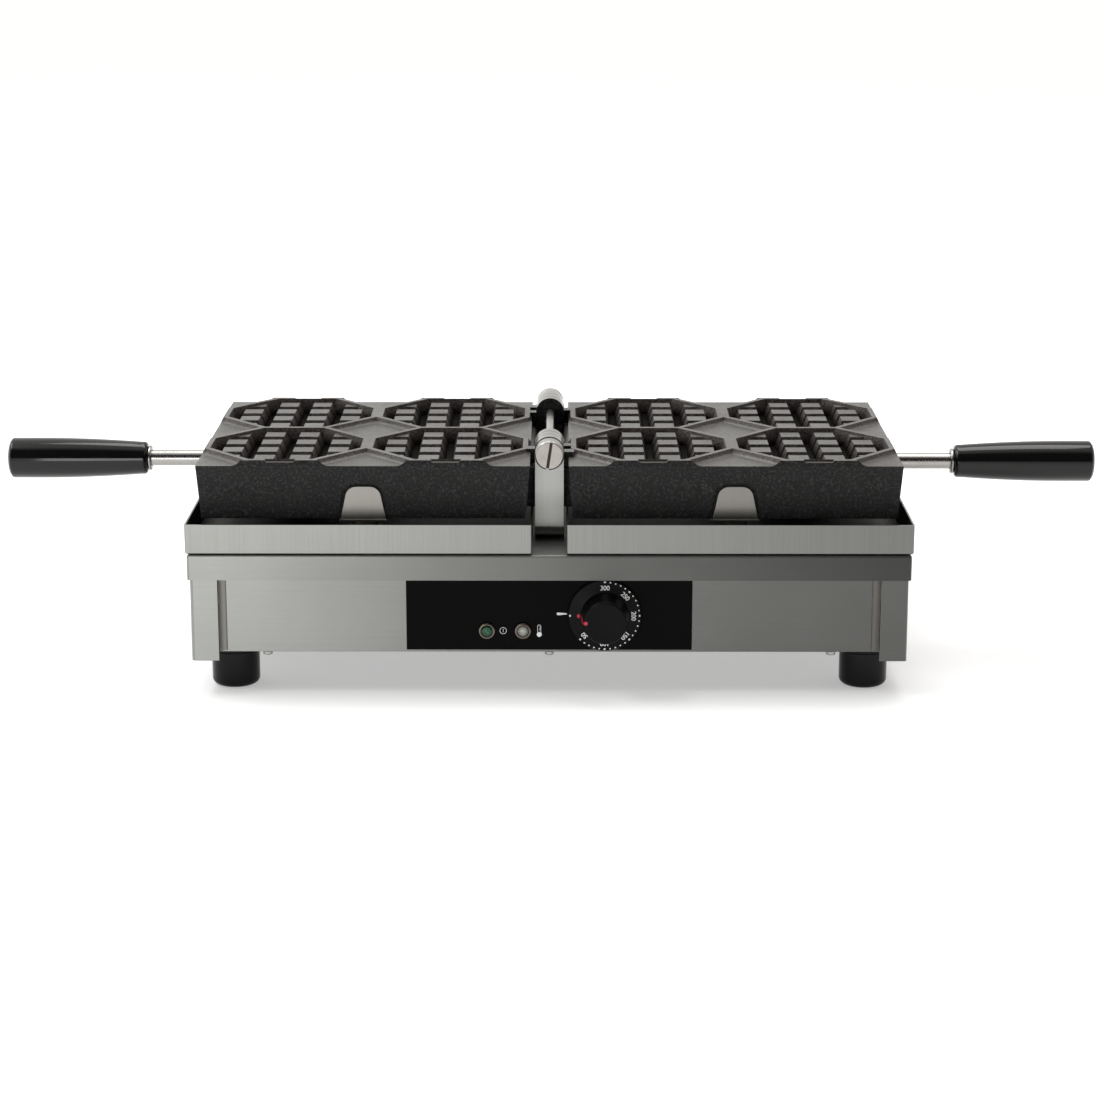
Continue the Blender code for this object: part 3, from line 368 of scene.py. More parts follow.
def cast_iron():
    """Seasoned cast iron: black sand-cast walls, grey tops, brown cavities with painted shade at their
    bottoms, bright hinge eyes.
    """
    material, tree = new_material("cast_iron_seasoned")
    place = place_in_object(tree)
    flat = remap(tree, upness(tree), 0.55, 0.85, 0.0, 1.0)
    field, deep = waffle_field(tree, place)
    turned = hinge_eyes(tree, place)
    sand = noise(tree, place, 560.0, 4.0, 0.65)
    lumps = noise(tree, place, 170.0, 3.0, 0.5)
    patches = noise(tree, place, 26.0, 3.0, 0.6)
    pits = add(tree, "ShaderNodeTexVoronoi", {"Vector": place, "Scale": 300.0}).outputs[0]

    wall = mix_colours(tree, remap(tree, sand, 0.50, 0.72, 0.0, 1.0), grey(0.003), grey(0.045, 0.02))
    baked = mix_colours(tree, remap(tree, sand, 0.35, 0.7, 0.0, 1.0), tint(0.016, RUST_AND_SHADE_TINT),
                        tint(0.075, RUST_AND_SHADE_TINT))
    # painted shade: the cavity bottoms go near black
    baked = mix_colours(tree, deep, baked, tint(0.006, RUST_AND_SHADE_TINT))
    wall = mix_colours(tree, field, wall, baked)
    # painted shade: cavity floors take the dark wall colour, not the top's
    flat = product(tree, flat, math_node(tree, "SUBTRACT", 1.0, deep))
    top = mix_colours(tree, remap(tree, sand, 0.3, 0.75, 0.0, 1.0), grey(0.08, 0.04), grey(0.18, 0.03))
    top = mix_colours(tree, remap(tree, patches, 0.42, 0.7, 0.0, 0.45), top, grey(0.085, 0.10))
    base = mix_colours(tree, flat, wall, top)
    base = mix_colours(tree, turned, base, turned_eyes(tree, place))

    grain = math_node(tree, "ADD", sand, product(tree, lumps, 0.8))
    grain = math_node(tree, "ADD", grain, remap(tree, pits, 0.0, 0.25, -0.25, 0.0))
    rugged = remap(tree, math_node(tree, "MAXIMUM", flat, turned), 0.0, 1.0, 1.0, 0.45)
    smoother = remap(tree, turned, 0.0, 1.0, 1.0, 0.15)
    rough = math_node(tree, "ADD", remap(tree, flat, 0.0, 1.0, 0.36, 0.40),
                      remap(tree, patches, 0.35, 0.7, -0.04, 0.08))
    rough = math_node(tree, "SUBTRACT", rough, product(tree, turned, 0.22))
    metal = math_node(tree, "MAXIMUM", remap(tree, flat, 0.0, 1.0, 0.25, 0.8), turned)
    # the same painted shade also takes metal and gloss out of the cavity bottoms
    metal = product(tree, metal, math_node(tree, "SUBTRACT", 1.0, deep))
    surface(tree, {"Base Color": base, "Metallic": metal, "Roughness": rough,
                   "Specular IOR Level": remap(tree, deep, 0.0, 0.8, 0.35, 0.01),
                   "Normal": bump(tree, grain, product(tree, rugged, smoother), 0.0009)})
    return material


def glossy_black(name, roughness, level, gloss):
    """Thermoset plastic: deep gloss with a faint moulding texture and dust."""
    material, tree = new_material(name)
    place = place_in_object(tree)
    dust = noise(tree, place, 140.0, 4.0, 0.7)
    waves = noise(tree, place, 45.0, 2.0, 0.5)
    base = mix_colours(tree, remap(tree, dust, 0.62, 0.85, 0.0, 0.2), grey(level), grey(level * 4))
    rough = remap(tree, dust, 0.45, 0.8, roughness, roughness + 0.08)
    surface(tree, {"Base Color": base, "Roughness": rough, "IOR": 1.5, "Specular IOR Level": gloss,
                   "Normal": bump(tree, waves, 0.03, 0.0003)})
    return material


def turned_steel(name, level, roughness, warm=0.03):
    """Polished bar and turned heads: faint rings of the tool all round."""
    material, tree = new_material(name)
    place = place_in_object(tree)
    rings = noise(tree, scaled(tree, place, (1500.0, 1500.0, 60.0)), 1.0, 3.0, 0.6)
    stains = noise(tree, place, 60.0, 3.0, 0.6)
    base = mix_colours(tree, remap(tree, stains, 0.35, 0.75, 0.0, 0.5), grey(level, warm),
                       grey(level * 0.78, warm * 2))
    rough = remap(tree, rings, 0.3, 0.7, roughness - 0.04, roughness + 0.10)
    surface(tree, {"Base Color": base, "Metallic": 1.0, "Roughness": rough,
                   "Normal": bump(tree, rings, 0.06, 0.00005)})
    return material


def label_black():
    """Printed polyester label: even black with a fine leathery grain."""
    material, tree = new_material("label_black")
    place = place_in_object(tree)
    grain = noise(tree, place, 2600.0, 2.0, 0.5)
    sheen = noise(tree, place, 14.0, 2.0, 0.5)
    base = mix_colours(tree, sheen, grey(0.0010), grey(0.0022))
    surface(tree, {"Base Color": base, "Roughness": remap(tree, sheen, 0.3, 0.7, 0.50, 0.58),
                   "Specular IOR Level": 0.05, "Normal": bump(tree, grain, 0.15, 0.00004)})
    return material


def screw_steel():
    """Turned heads with painted shade in their slot."""
    material, tree = new_material("screw_steel")
    place = place_in_object(tree)
    reach = hinge_reach(tree, place)
    along = size_of(tree, parts_of(tree, place)[1])
    # the slot's mask, for painted shade in the slot
    slot = product(tree, remap(tree, along, SCREW_FACE - 0.0014, SCREW_FACE - 0.0006, 1.0, 0.0),
                   remap(tree, reach, SCREW_RADIUS - 0.0012, SCREW_RADIUS - 0.0008, 1.0, 0.0))
    rings = noise(tree, add(tree, "ShaderNodeCombineXYZ", {0: reach}).outputs[0], 2400.0, 2.0, 0.5)
    stains = noise(tree, place, 130.0, 3.0, 0.6)
    base = mix_colours(tree, remap(tree, rings, 0.4, 0.6, 0.0, 1.0), grey(0.30, 0.07), grey(0.37, 0.05))
    base = mix_colours(tree, remap(tree, stains, 0.45, 0.75, 0.0, 0.4), base, grey(0.24, 0.10))
    base = mix_colours(tree, slot, base, grey(0.03, 0.2))
    surface(tree, {"Base Color": base, "Metallic": 1.0,
                   "Roughness": remap(tree, stains, 0.4, 0.7, 0.30, 0.38),
                   "Normal": bump(tree, rings, 0.08, 0.00003)})
    return material


def printed_ink(name, colour):
    material, tree = new_material(name)
    speck = noise(tree, place_in_object(tree), 5200.0, 2.0, 0.6)
    worn = tuple(channel * 0.72 for channel in colour[:3]) + (1.0,)
    base = mix_colours(tree, remap(tree, speck, 0.5, 0.8, 0.0, 0.6), colour, worn)
    surface(tree, {"Base Color": base, "Roughness": 0.5, "Normal": bump(tree, speck, 0.1, 0.00002)})
    return material


def lens_glass(name, lamp, colour, glow):
    """Signal lens: a painted highlight in the middle and painted shade where it meets the bezel."""
    material, tree = new_material(name)
    low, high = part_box(f"{lamp}_lamp_lens")
    middle = (low + high) / 2
    place = place_in_object(tree)
    x, _, z = parts_of(tree, place)
    off_x = math_node(tree, "SUBTRACT", x, middle.x)
    off_z = math_node(tree, "SUBTRACT", z, middle.z + 0.0004)
    reach = distance(tree, off_x, off_z)
    facets = add(tree, "ShaderNodeTexVoronoi", {"Vector": place, "Scale": 1100.0}).outputs[0]
    # painted highlight in the middle of the lens, fading to painted shade at the bezel; the glow
    # follows it
    painted_core_highlight = remap(tree, reach, 0.0006, 0.0038, 1.0, 0.0)
    painted_core_highlight = product(tree, painted_core_highlight, remap(tree, facets, 0.0, 0.6, 1.0, 0.45))
    shade = tuple(channel * 0.12 for channel in colour[:3]) + (1.0,)
    base = mix_colours(tree, painted_core_highlight, shade, colour)
    surface(tree, {"Base Color": base, "Roughness": 0.08, "IOR": 1.5, "Specular IOR Level": 0.45,
                   "Emission Color": base, "Emission Strength": glow,
                   "Normal": bump(tree, facets, 0.25, 0.0002)})
    return material


def moulded_grey(name, level):
    material, tree = new_material(name)
    place = place_in_object(tree)
    grain = noise(tree, place, 900.0, 3.0, 0.6)
    base = mix_colours(tree, grain, grey(level * 0.9), grey(level * 1.1))
    surface(tree, {"Base Color": base, "Roughness": 0.55, "Normal": bump(tree, grain, 0.2, 0.0001)})
    return material


def oxidised_sheath():
    """Heater tube: straw to blue-grey oxide in cloudy bands."""
    material, tree = new_material("oxidised_sheath")
    place = place_in_object(tree)
    cloud = noise(tree, place, 70.0, 4.0, 0.6)
    base = mix_colours(tree, remap(tree, cloud, 0.35, 0.65, 0.0, 1.0), BLUE_OXIDE, STRAW_OXIDE)
    surface(tree, {"Base Color": base, "Metallic": 0.9,
                   "Roughness": remap(tree, cloud, 0.3, 0.7, 0.4, 0.6),
                   "Normal": bump(tree, cloud, 0.1, 0.0002)})
    return material


LOOKS = {
    # darkest is the share of each front face's level left at the right end by the painted shade
    "stainless": brushed_steel("stainless_level", False, 0.265, darkest=0.48),
    "tray_steel": brushed_steel("stainless_upright", True, 0.31, contrast=0.07, darkest=0.53, painted_tray_shade=True),
    "casing_steel": brushed_steel("casing_steel", False, 0.25, darkest=0.27),
    "seam_steel": brushed_steel("seam_steel", True, 0.17, 0.30, WARM_STEEL_TINT, darkest=0.6),
    "hinge_steel": brushed_steel("hinge_bar_steel", True, 0.32, 0.30, darkest=1.0),
    "clip_steel": brushed_steel("clip_sheet_steel", True, 0.25, 0.36, WARM_STEEL_TINT, darkest=0.7),
    "bright_steel": turned_steel("polished_steel", 0.36, 0.22),
    "screw_steel": screw_steel(),
    "bezel_steel": turned_steel("bezel_steel", 0.13, 0.20, 0.16),
    "cast_iron": cast_iron(),
    "element_sheath": oxidised_sheath(),
    "black_plastic": glossy_black("black_thermoset", 0.10, 0.004, 0.34),
    "knob_plastic": glossy_black("knob_black", 0.36, 0.0018, 0.09),
    "foot_plastic": glossy_black("foot_black", 0.10, 0.002, 0.16),
    "black_label": label_black(),
    "grey_plastic": moulded_grey("grey_moulding", 0.3),
    "green_lens": lens_glass("green_lens", "power", (0.003, 0.14, 0.05, 1), 0.2),
    "clear_lens": lens_glass("clear_lens", "heating", (0.62, 0.62, 0.56, 1), 0.12),
    "white_ink": printed_ink("white_ink", (0.78, 0.78, 0.78, 1)),
    "red_ink": printed_ink("red_ink", (0.50, 0.008, 0.045, 1)),
}


# ---------------------------------------------------------------- CAD nodes that stay

# Nodes that look unlike the rest of their material
NODE_LOOKS = {"top_casing": "casing_steel"}


def paint_cad_nodes():
    for entry in frame["record"]["subparts"]:
        obj = NODES[entry["node"]]
        obj.data.materials.clear()
        obj.data.materials.append(LOOKS[NODE_LOOKS.get(entry["node"], entry["material_slot"])])


def soften(name, width):
    """Merge the split corners, drop the flat facets' inner edges and round what is sharp.

    The width of the rounding is in millimetres.
    """
    obj = NODES[name]
    weld = obj.modifiers.new("weld", "WELD")
    weld.merge_threshold = 0.00001
    flat = obj.modifiers.new("planar", "DECIMATE")
    flat.decimate_type = "DISSOLVE"
    flat.angle_limit = math.radians(1.0)
    bevel = obj.modifiers.new("edges", "BEVEL")
    bevel.width = width * MM
    bevel.segments = 2
    bevel.limit_method = "ANGLE"
    bevel.angle_limit = math.radians(28)
    obj.modifiers.new("normals", "WEIGHTED_NORMAL")


def soften_cad_nodes():
    for hand in ("left", "right"):
        soften(f"{hand}_plate", 0.7)
        soften(f"{hand}_drip_tray", 0.35)
        soften(f"{hand}_plate_rest", 0.3)
        soften(f"{hand}_side_panel", 0.3)
        soften(f"{hand}_element_cover", 0.3)
        for end in ("front", "rear"):
            soften(f"{hand}_{end}_clip", 0.3)
    for name in ("top_casing", "front_panel", "rear_panel", "bottom_plate"):
        soften(name, 0.3)
    soften("label_plate", 0.15)
    soften("hinge_bracket", 0.7)
    for name in ("terminal_block", "thermostat_body"):
        soften(name, 0.8)


# ---------------------------------------------------------------- turned pieces

def put(name, mesh, look, body):
    """Make a visible piece that rides on a body."""
    mesh.materials.append(LOOKS[look])
    obj = bpy.data.objects.new(name, mesh)
    bpy.context.scene.collection.objects.link(obj)
    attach(obj, body)
    return obj


def mesh_from(bm, name):
    mesh = bpy.data.meshes.new(name)
    bm.to_mesh(mesh)
    bm.free()
    return mesh


def smoothed(mesh, sharp_angle):
    """Shade smooth, but keep the edges that turn by more than the angle in degrees."""
    mesh.shade_smooth()
    mesh.set_sharp_from_angle(angle=math.radians(sharp_angle))
    return mesh


def prism(bm, outline, rise):
    """A solid whose foot is the closed outline and whose top is the outline moved by the rise."""
    foot = bm.faces.new([bm.verts.new(point) for point in outline])
    made = bmesh.ops.extrude_face_region(bm, geom=[foot], use_keep_orig=True)
    moved = [item for item in made["geom"] if isinstance(item, bmesh.types.BMVert)]
    bmesh.ops.translate(bm, vec=rise, verts=moved)


def body_of(node):
    bodies = frame["record"]["behaviour"]["bodies"]
    return next(body for body, members in bodies.items() if node in members)


def arc(radius, centre, start, end, segments):
    """Points on an arc between two angles in degrees."""
    angles = [math.radians(start + (end - start) * i / segments) for i in range(segments + 1)]
    return [(centre[0] + radius * math.cos(a), centre[1] + radius * math.sin(a)) for a in angles]


def lathe(name, profile, base, direction, steps, flutes):
    """Spin (radius, along) points, in metres, round a line; closed where it meets the line.

    The flutes, if any, give each point's share of its radius from its angle and place along.
    """
    bm = bmesh.new()
    turn = Vector((0, 0, 1)).rotation_difference(Vector(direction)).to_matrix()
    rings = []
    for radius, along in profile:
        count = 1 if radius < 1e-7 else steps
        ring = []
        for i in range(count):
            angle = 2 * math.pi * i / steps
            reach = radius * (flutes(angle, along) if flutes else 1.0)
            point = Vector((reach * math.cos(angle), reach * math.sin(angle), along))
            ring.append(bm.verts.new(Vector(base) + turn @ point))
        rings.append(ring)
    pairs = list(zip(rings, rings[1:]))
    if len(rings[0]) > 1:
        pairs.append((rings[-1], rings[0]))
    for first, second in pairs:
        for i in range(steps):
            corners = [first[(i - 1) % len(first)], first[i % len(first)],
                       second[i % len(second)], second[(i - 1) % len(second)]]
            unique = list(dict.fromkeys(corners))
            if len(unique) > 2:
                bm.faces.new(unique)
    bmesh.ops.recalc_face_normals(bm, faces=bm.faces)
    return smoothed(mesh_from(bm, name), 32)


def slot_of(node):
    entries = frame["record"]["subparts"]
    return next(entry["material_slot"] for entry in entries if entry["node"] == node)


def turned_from(node, profile, base, direction, steps=64, look=None, flutes=None):
    """A finer turned piece that stands for a CAD node."""
    mesh = lathe(f"{node}_turned", profile, base, direction, steps, flutes)
    obj = put(f"{node}_turned", mesh, look or slot_of(node), body_of(node))
    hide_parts(node)
    return obj


def make_feet():
    """Moulded feet: a hollow sole, a round lower edge and a groove under the collar."""
    edge, hollow, groove = 0.005, 0.0006, 0.0006
    for end in ("front", "rear"):
        for hand in ("left", "right"):
            node = f"{end}_{hand}_foot"
            low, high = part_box(node)
            middle = (low + high) / 2
            radius, height = (high.x - low.x) / 2, high.z - low.z
            profile = [(0, hollow), (radius * 0.45, hollow), (radius * 0.5, 0),
                       *arc(edge, (radius - edge, edge), -90, 0, 8),
                       (radius, height - 0.004), (radius - groove, height - 0.0036),
                       (radius - groove, height - 0.0026), (radius, height - 0.002),
                       (radius, height), (0, height)]
            turned_from(node, profile, (middle.x, middle.y, low.z), (0, 0, 1), look="foot_plastic")


def make_grips():
    """Swelling grips with a nearly square outer end that is slightly domed."""
    corner, dome, ring = 0.0022, 0.0022, 0.003
    neck, swell = 0.81, 1.8
    taper_start, taper_end = 0.005, 0.030
    for hand, side in (("left", -1), ("right", 1)):
        node = f"{hand}_handle_grip"
        low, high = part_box(node)
        middle = (low + high) / 2
        length, big = high.x - low.x, (high.z - low.z) / 2
        small = big * neck
        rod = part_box(f"{hand}_handle_rod")
        bore = (rod[1].z - rod[0].z) / 2 + CLEARANCE
        start = middle.x - side * length / 2
        depth = abs((rod[1].x if side > 0 else rod[0].x) - start) + CLEARANCE
        shoulder = length - dome - corner
        taper = shoulder - taper_end
        body = [(small + (big - small) * (1 - (1 - t) ** swell), taper_start + taper * t)
                for t in (i / 12 for i in range(13))]
        inner = arc(ring, (small - ring, ring), -90, 0, 6)
        outer = arc(corner, (big - corner, shoulder), 0, 75, 6)
        reach = outer[-1][0]
        crown = [(reach * math.cos(math.radians(a)),
                  outer[-1][1] + (length - outer[-1][1]) * math.sin(math.radians(a)))
                 for a in range(15, 91, 15)]
        profile = [(0, depth), (bore, depth), (bore, 0), *inner, *body, *outer, *crown[:-1],
                   (0, length)]
        turned_from(node, profile, (start, middle.y, middle.z), (side, 0, 0), 96)


def make_rods():
    """Handle rods with chamfered ends, each with its rounded ferrule."""
    chamfer = 0.0008
    for hand in ("left", "right"):
        node = f"{hand}_handle_rod"
        low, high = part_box(node)
        middle = (low + high) / 2
        radius, length = (high.z - low.z) / 2, high.x - low.x
        profile = [(0, 0), (radius - chamfer, 0), (radius, chamfer), (radius, length - chamfer),
                   (radius - chamfer, length), (0, length)]
        turned_from(node, profile, (low.x, middle.y, middle.z), (1, 0, 0), 64)
        node = f"{hand}_handle_ferrule"
        low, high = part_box(node)
        outer, width = (high.z - low.z) / 2, high.x - low.x
        bore = radius + CLEARANCE
        bead = arc(width / 2, (outer - width / 2, width / 2), -90, 90, 8)
        turned_from(node, [(bore, 0), *bead, (bore, width)], (low.x, middle.y, middle.z), (1, 0, 0), 64)


def make_hinge_rod():
    """The plain bar through all the hinge eyes."""
    low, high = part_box("hinge_rod")
    radius, length = (high.x - low.x) / 2, high.y - low.y
    profile = [(0, 0), (radius, 0), (radius, length), (0, length)]
    turned_from("hinge_rod", profile, (0, low.y, (low.z + high.z) / 2), (0, 1, 0), 48)


def cut_away(obj, low, high, place):
    """Take a box, given in a place of its own, out of a piece's mesh."""
    bm = bmesh.new()
    span = Matrix.Diagonal((*(high - low), 1.0))
    bmesh.ops.create_cube(bm, size=1.0, matrix=place @ Matrix.Translation((low + high) / 2) @ span)
    cutter = bpy.data.objects.new("cutter", mesh_from(bm, "cutter"))
    bpy.context.scene.collection.objects.link(cutter)
    modifier = obj.modifiers.new("cut", "BOOLEAN")
    modifier.operation = "DIFFERENCE"
    modifier.solver = "EXACT"
    modifier.object = cutter
    graph = bpy.context.evaluated_depsgraph_get()
    mesh = bpy.data.meshes.new_from_object(obj.evaluated_get(graph))
    mesh.set_sharp_from_angle(angle=math.radians(24))
    obj.modifiers.clear()
    obj.data = mesh
    bpy.data.objects.remove(cutter)


def make_hinge_screws():
    """Turned heads with a worn bright edge and a tilted slot."""
    chamfer, overcut = 0.0007, 0.002
    for end, side in (("front", -1), ("rear", 1)):
        node = f"{end}_hinge_screw"
        low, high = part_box(node)
        radius, height = (high.x - low.x) / 2, high.y - low.y
        seat = high.y if side < 0 else low.y
        centre = Vector((0, seat, HINGE_Z))
        profile = [(0, 0), (radius - 0.0003, 0), (radius, 0.0003), (radius, height - chamfer * 1.6),
                   (radius - 0.0002, height - chamfer), (radius - chamfer, height - 0.0002),
                   (radius - chamfer * 1.5, height), (0.0012, height), (0.0009, height - 0.0003),
                   (0, height - 0.0004)]
        screw = turned_from(node, profile, centre, (0, side, 0), 96, look="screw_steel")
        tilt = Matrix.Translation(centre) @ Matrix.Rotation(math.radians(SCREW_SLOT_TILT), 4, "Y")
        near, far = sorted((side * (height - SCREW_SLOT_DEPTH), side * (height + overcut)))
        reach = radius + overcut
        cut_away(screw, Vector((-SCREW_SLOT / 2, near, -reach)),
                 Vector((SCREW_SLOT / 2, far, reach)), tilt)


def make_hinge_webs():
    """Cast webs under the hinge arms that close the view between the plates."""
    radius, corner = KNUCKLE_RADIUS, 0.0040
    inner, root = 0.0099, PLATE_LOW_WALL + 0.0006
    top, bottom = HINGE_Z - radius - 0.0008, HINGE_Z - 0.0410
    reach = KNUCKLE_ENDS[-1]
    for hand, side in (("left", -1), ("right", 1)):
        outline = [(root, top), *arc(corner, (inner + corner, top - corner), 90, 180, 5),
                   (inner + 0.0006, bottom), (root, bottom)]
        bm = bmesh.new()
        prism(bm, [(side * x, -reach, z) for x, z in outline], (0, 2 * reach, 0))
        bmesh.ops.recalc_face_normals(bm, faces=bm.faces)
        name = f"{hand}_hinge_web"
        put(name, mesh_from(bm, name), "cast_iron", f"{hand}_plate_set")


def make_clip_nuts():
    """Domed nuts below the clips, each on its stud."""
    seat, stud, chamfer = 0.0056, 0.004, 0.0008
    for hand in ("left", "right"):
        for end in ("front", "rear"):
            node = f"{hand}_{end}_clip_nut"
            low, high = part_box(node)
            middle = (low + high) / 2
            radius, height = (high.x - low.x) / 2, high.z - low.z
            profile = [(0, 0), (radius - 0.0015, 0), (radius - 0.0004, 0.0006), (radius, 0.0014),
                       (radius, seat - chamfer), (radius - chamfer, seat), (stud, seat),
                       (stud, height), (0, height)]
            turned_from(node, profile, (middle.x, middle.y, low.z), (0, 0, 1), 72)


def make_bolts():
    """Round-headed bolts with a socket, which hold the hinge bracket."""
    head, head_height, thread = 0.005, 0.004, 0.0025
    crown, socket, socket_depth = 0.0015, 0.0020, 0.002
    for end in ("front", "rear"):
        node = f"{end}_bracket_bolt"
        low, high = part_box(node)
        middle = (low + high) / 2
        height = high.z - low.z
        profile = [(0, 0), (thread, 0), (thread, height - head_height), (head, height - head_height),
                   *arc(crown, (head - crown, height - crown), 0, 90, 5), (socket + 0.0002, height),
                   (socket, height - socket_depth), (0, height - socket_depth)]
        turned_from(node, profile, (middle.x, middle.y, low.z), (0, 0, 1), 48)


def make_bottom_screws():
    """Round screw heads with a recess, under the front panel's lower edge."""
    recess, depth = 0.0010, 0.0008
    for hand in ("left", "centre", "right"):
        node = f"{hand}_bottom_screw"
        low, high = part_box(node)
        middle = (low + high) / 2
        radius, height = (high.x - low.x) / 2, high.z - low.z
        edge = radius * 0.3
        profile = [(0, depth), (recess, depth), (recess + 0.0003, 0), (radius * 0.7, 0.0001),
                   *arc(edge, (radius * 0.7, edge), -80, 0, 5), (radius, height), (0, height)]
        turned_from(node, profile, (middle.x, middle.y, low.z), (0, 0, 1), 48)


# ---------------------------------------------------------------- knob, lamps and label print

def make_knob():
    """The knob with its dial skirt; returns the point on its axis at the back face."""
    low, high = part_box("thermostat_knob")
    axis_x, axis_z = (low.x + high.x) / 2, (low.z + high.z) / 2
    radius, depth = (high.x - low.x) / 2, high.y - low.y
    shaft_low, shaft_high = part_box("thermostat_shaft")
    bore = (shaft_high.x - shaft_low.x) / 2 + CLEARANCE
    blind = high.y - shaft_low.y + CLEARANCE
    profile = [(0, blind), (bore, blind), (bore, 0), (radius - 0.0006, 0), (radius, 0.0005),
               (radius, 0.0016), (radius - 0.0005, SKIRT_EDGE), (HUB_BASE + 0.0016, SKIRT_TOP),
               (HUB_BASE + 0.0003, SKIRT_TOP + 0.0003), (HUB_BASE, SKIRT_TOP + 0.0013),
               (HUB_FRONT, depth - HUB_EDGE - 0.0004),
               *arc(HUB_EDGE, (HUB_FRONT - HUB_EDGE, depth - HUB_EDGE), 5, 90, 8),
               (HUB_FRONT - 0.0042, depth - 0.0004), (0, depth - 0.0007)]
    origin = Vector((axis_x, high.y, axis_z))
    turned_from("thermostat_knob", profile, origin, (0, -1, 0), 120, look="knob_plastic")
    return origin


def skirt_height(radius):
    share = (radius - SKIRT_INNER) / (SKIRT_OUTER - SKIRT_INNER)
    return SKIRT_TOP + (SKIRT_EDGE - SKIRT_TOP) * share


def dial_point(origin, radius, angle):
    """A point on the dial: angle in degrees from 3 o'clock, anticlockwise as the user sees it."""
    a = math.radians(angle)
    return Vector((origin.x + radius * math.cos(a), origin.y - skirt_height(radius),
                   origin.z + radius * math.sin(a)))


def dial_angle(degrees_celsius):
    return ZERO_ANGLE + DIAL_TURN * degrees_celsius


def disc(bm, centre, radius, lift):
    """A thin round spot of ink that faces the front, raised by the lift."""
    turn = Vector((0, 0, 1)).rotation_difference(Vector((0, -1, 0))).to_matrix().to_4x4()
    matrix = Matrix.Translation(centre) @ turn
    bmesh.ops.create_cone(bm, cap_ends=True, segments=20, radius1=radius, radius2=radius,
                          depth=lift * 2, matrix=matrix)


def make_dial(origin):
    """A dot for zero and every 10 degrees from 50, larger with a number every 50 degrees."""
    small_dot, large_dot, lift = 0.00055, 0.00075, 0.00006
    bm = bmesh.new()
    for celsius in (0, *range(DIAL_START, DIAL_END + 10, 10)):
        radius = small_dot if celsius % DIAL_STEP else large_dot
        disc(bm, dial_point(origin, DOT_RADIUS, dial_angle(celsius)), radius, lift)
    put("dial_dots", mesh_from(bm, "dial_dots"), "white_ink", "knob")
    for celsius in range(DIAL_START, DIAL_END + DIAL_STEP, DIAL_STEP):
        make_number(origin, celsius)


def make_number(origin, celsius):
    """A dial number whose top points away from the knob's axis."""
    curve = bpy.data.curves.new(f"dial_{celsius}", "FONT")
    curve.body = str(celsius)
    curve.size = NUMBER_SIZE
    curve.offset = 0.00005
    curve.align_x = "CENTER"
    curve.align_y = "CENTER"
    curve.extrude = 0.00005
    curve.space_character = 0.95
    curve.materials.append(LOOKS["white_ink"])
    obj = bpy.data.objects.new(f"dial_number_{celsius}", curve)
    bpy.context.scene.collection.objects.link(obj)
    angle = dial_angle(celsius)
    facing = Matrix.Rotation(math.radians(90), 4, "X")
    tilt = Matrix.Rotation(math.atan2(SKIRT_TOP - SKIRT_EDGE, SKIRT_OUTER - SKIRT_INNER), 4, "X")
    spin = Matrix.Rotation(math.radians(90 - angle), 4, "Y")
    place = Matrix.Translation(dial_point(origin, NUMBER_RADIUS, angle))
    obj.matrix_world = place @ spin @ facing @ tilt.inverted()
    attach(obj, "knob")


def make_zero_mark(origin):
    """The red line from the dial's zero along the hub's side to its front face."""
    width, thickness, lift = 0.0015, 0.00032, 0.00008
    bm = bmesh.new()
    low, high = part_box("thermostat_knob")
    depth = high.y - low.y
    start = Vector((-HUB_BASE, -SKIRT_TOP - 0.0008, 0))
    end = Vector((-HUB_FRONT, -depth + HUB_EDGE * 0.5, 0))
    along = (end - start).normalized()
    outward = Vector((along.y, -along.x, 0))
    middle = origin + (start + end) / 2 + outward * lift
    rotation = Matrix((along, along.cross(outward), outward)).transposed().to_4x4()
    size = Matrix.Diagonal(((end - start).length, width, thickness, 1.0))
    bmesh.ops.create_cube(bm, size=1.0, matrix=Matrix.Translation(middle) @ rotation @ size)
    disc(bm, dial_point(origin, SKIRT_INNER - 0.0002, ZERO_ANGLE), 0.0015, 0.00010)
    disc(bm, origin + Vector((-HUB_FRONT + 0.0018, -depth + 0.00045, 0)), 0.0014, 0.00060)
    put("dial_zero_mark", mesh_from(bm, "dial_zero_mark"), "red_ink", "knob")


def make_lamp_bezel(lamp, lens):
    """A rolled ring round a lens of the given radius."""
    low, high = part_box(f"{lamp}_lamp_bezel")
    middle = (low + high) / 2
    outer, depth = (high.x - low.x) / 2, high.y - low.y
    roll = depth * 0.6
    ring = [(lens + CLEARANCE, 0), (outer, 0), (outer, depth * 0.3),
            *arc(roll, (outer - roll, depth * 0.4), 0, 100, 8),
            (lens + 0.0006, depth * 0.9), (lens + CLEARANCE, depth * 0.5)]
    turned_from(f"{lamp}_lamp_bezel", ring, (middle.x, high.y, middle.z), (0, -1, 0), 64,
                look="bezel_steel")


def make_lamp_lens(lamp, lens):
    """A low dome of five ribs."""
    rib_count, dome, groove, ridge = 5, 0.0012, 0.00018, 0.0001
    low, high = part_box(f"{lamp}_lamp_lens")
    bezel_low, bezel_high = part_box(f"{lamp}_lamp_bezel")
    middle = (bezel_low + bezel_high) / 2
    reach = high.y - low.y
    ribs = []
    for i in range(rib_count):
        radius = lens * (1 - i / rib_count)
        crown = reach - dome * (radius / lens) ** 2
        ribs += [(radius, crown - groove), (radius - lens * 0.07, crown + ridge if i else crown)]
    ribs = [(radius, min(along, reach)) for radius, along in ribs]
    turned_from(f"{lamp}_lamp_lens", [(0, 0), (lens, 0), *ribs, (0, reach)],
                (middle.x, high.y, middle.z), (0, -1, 0), 48)


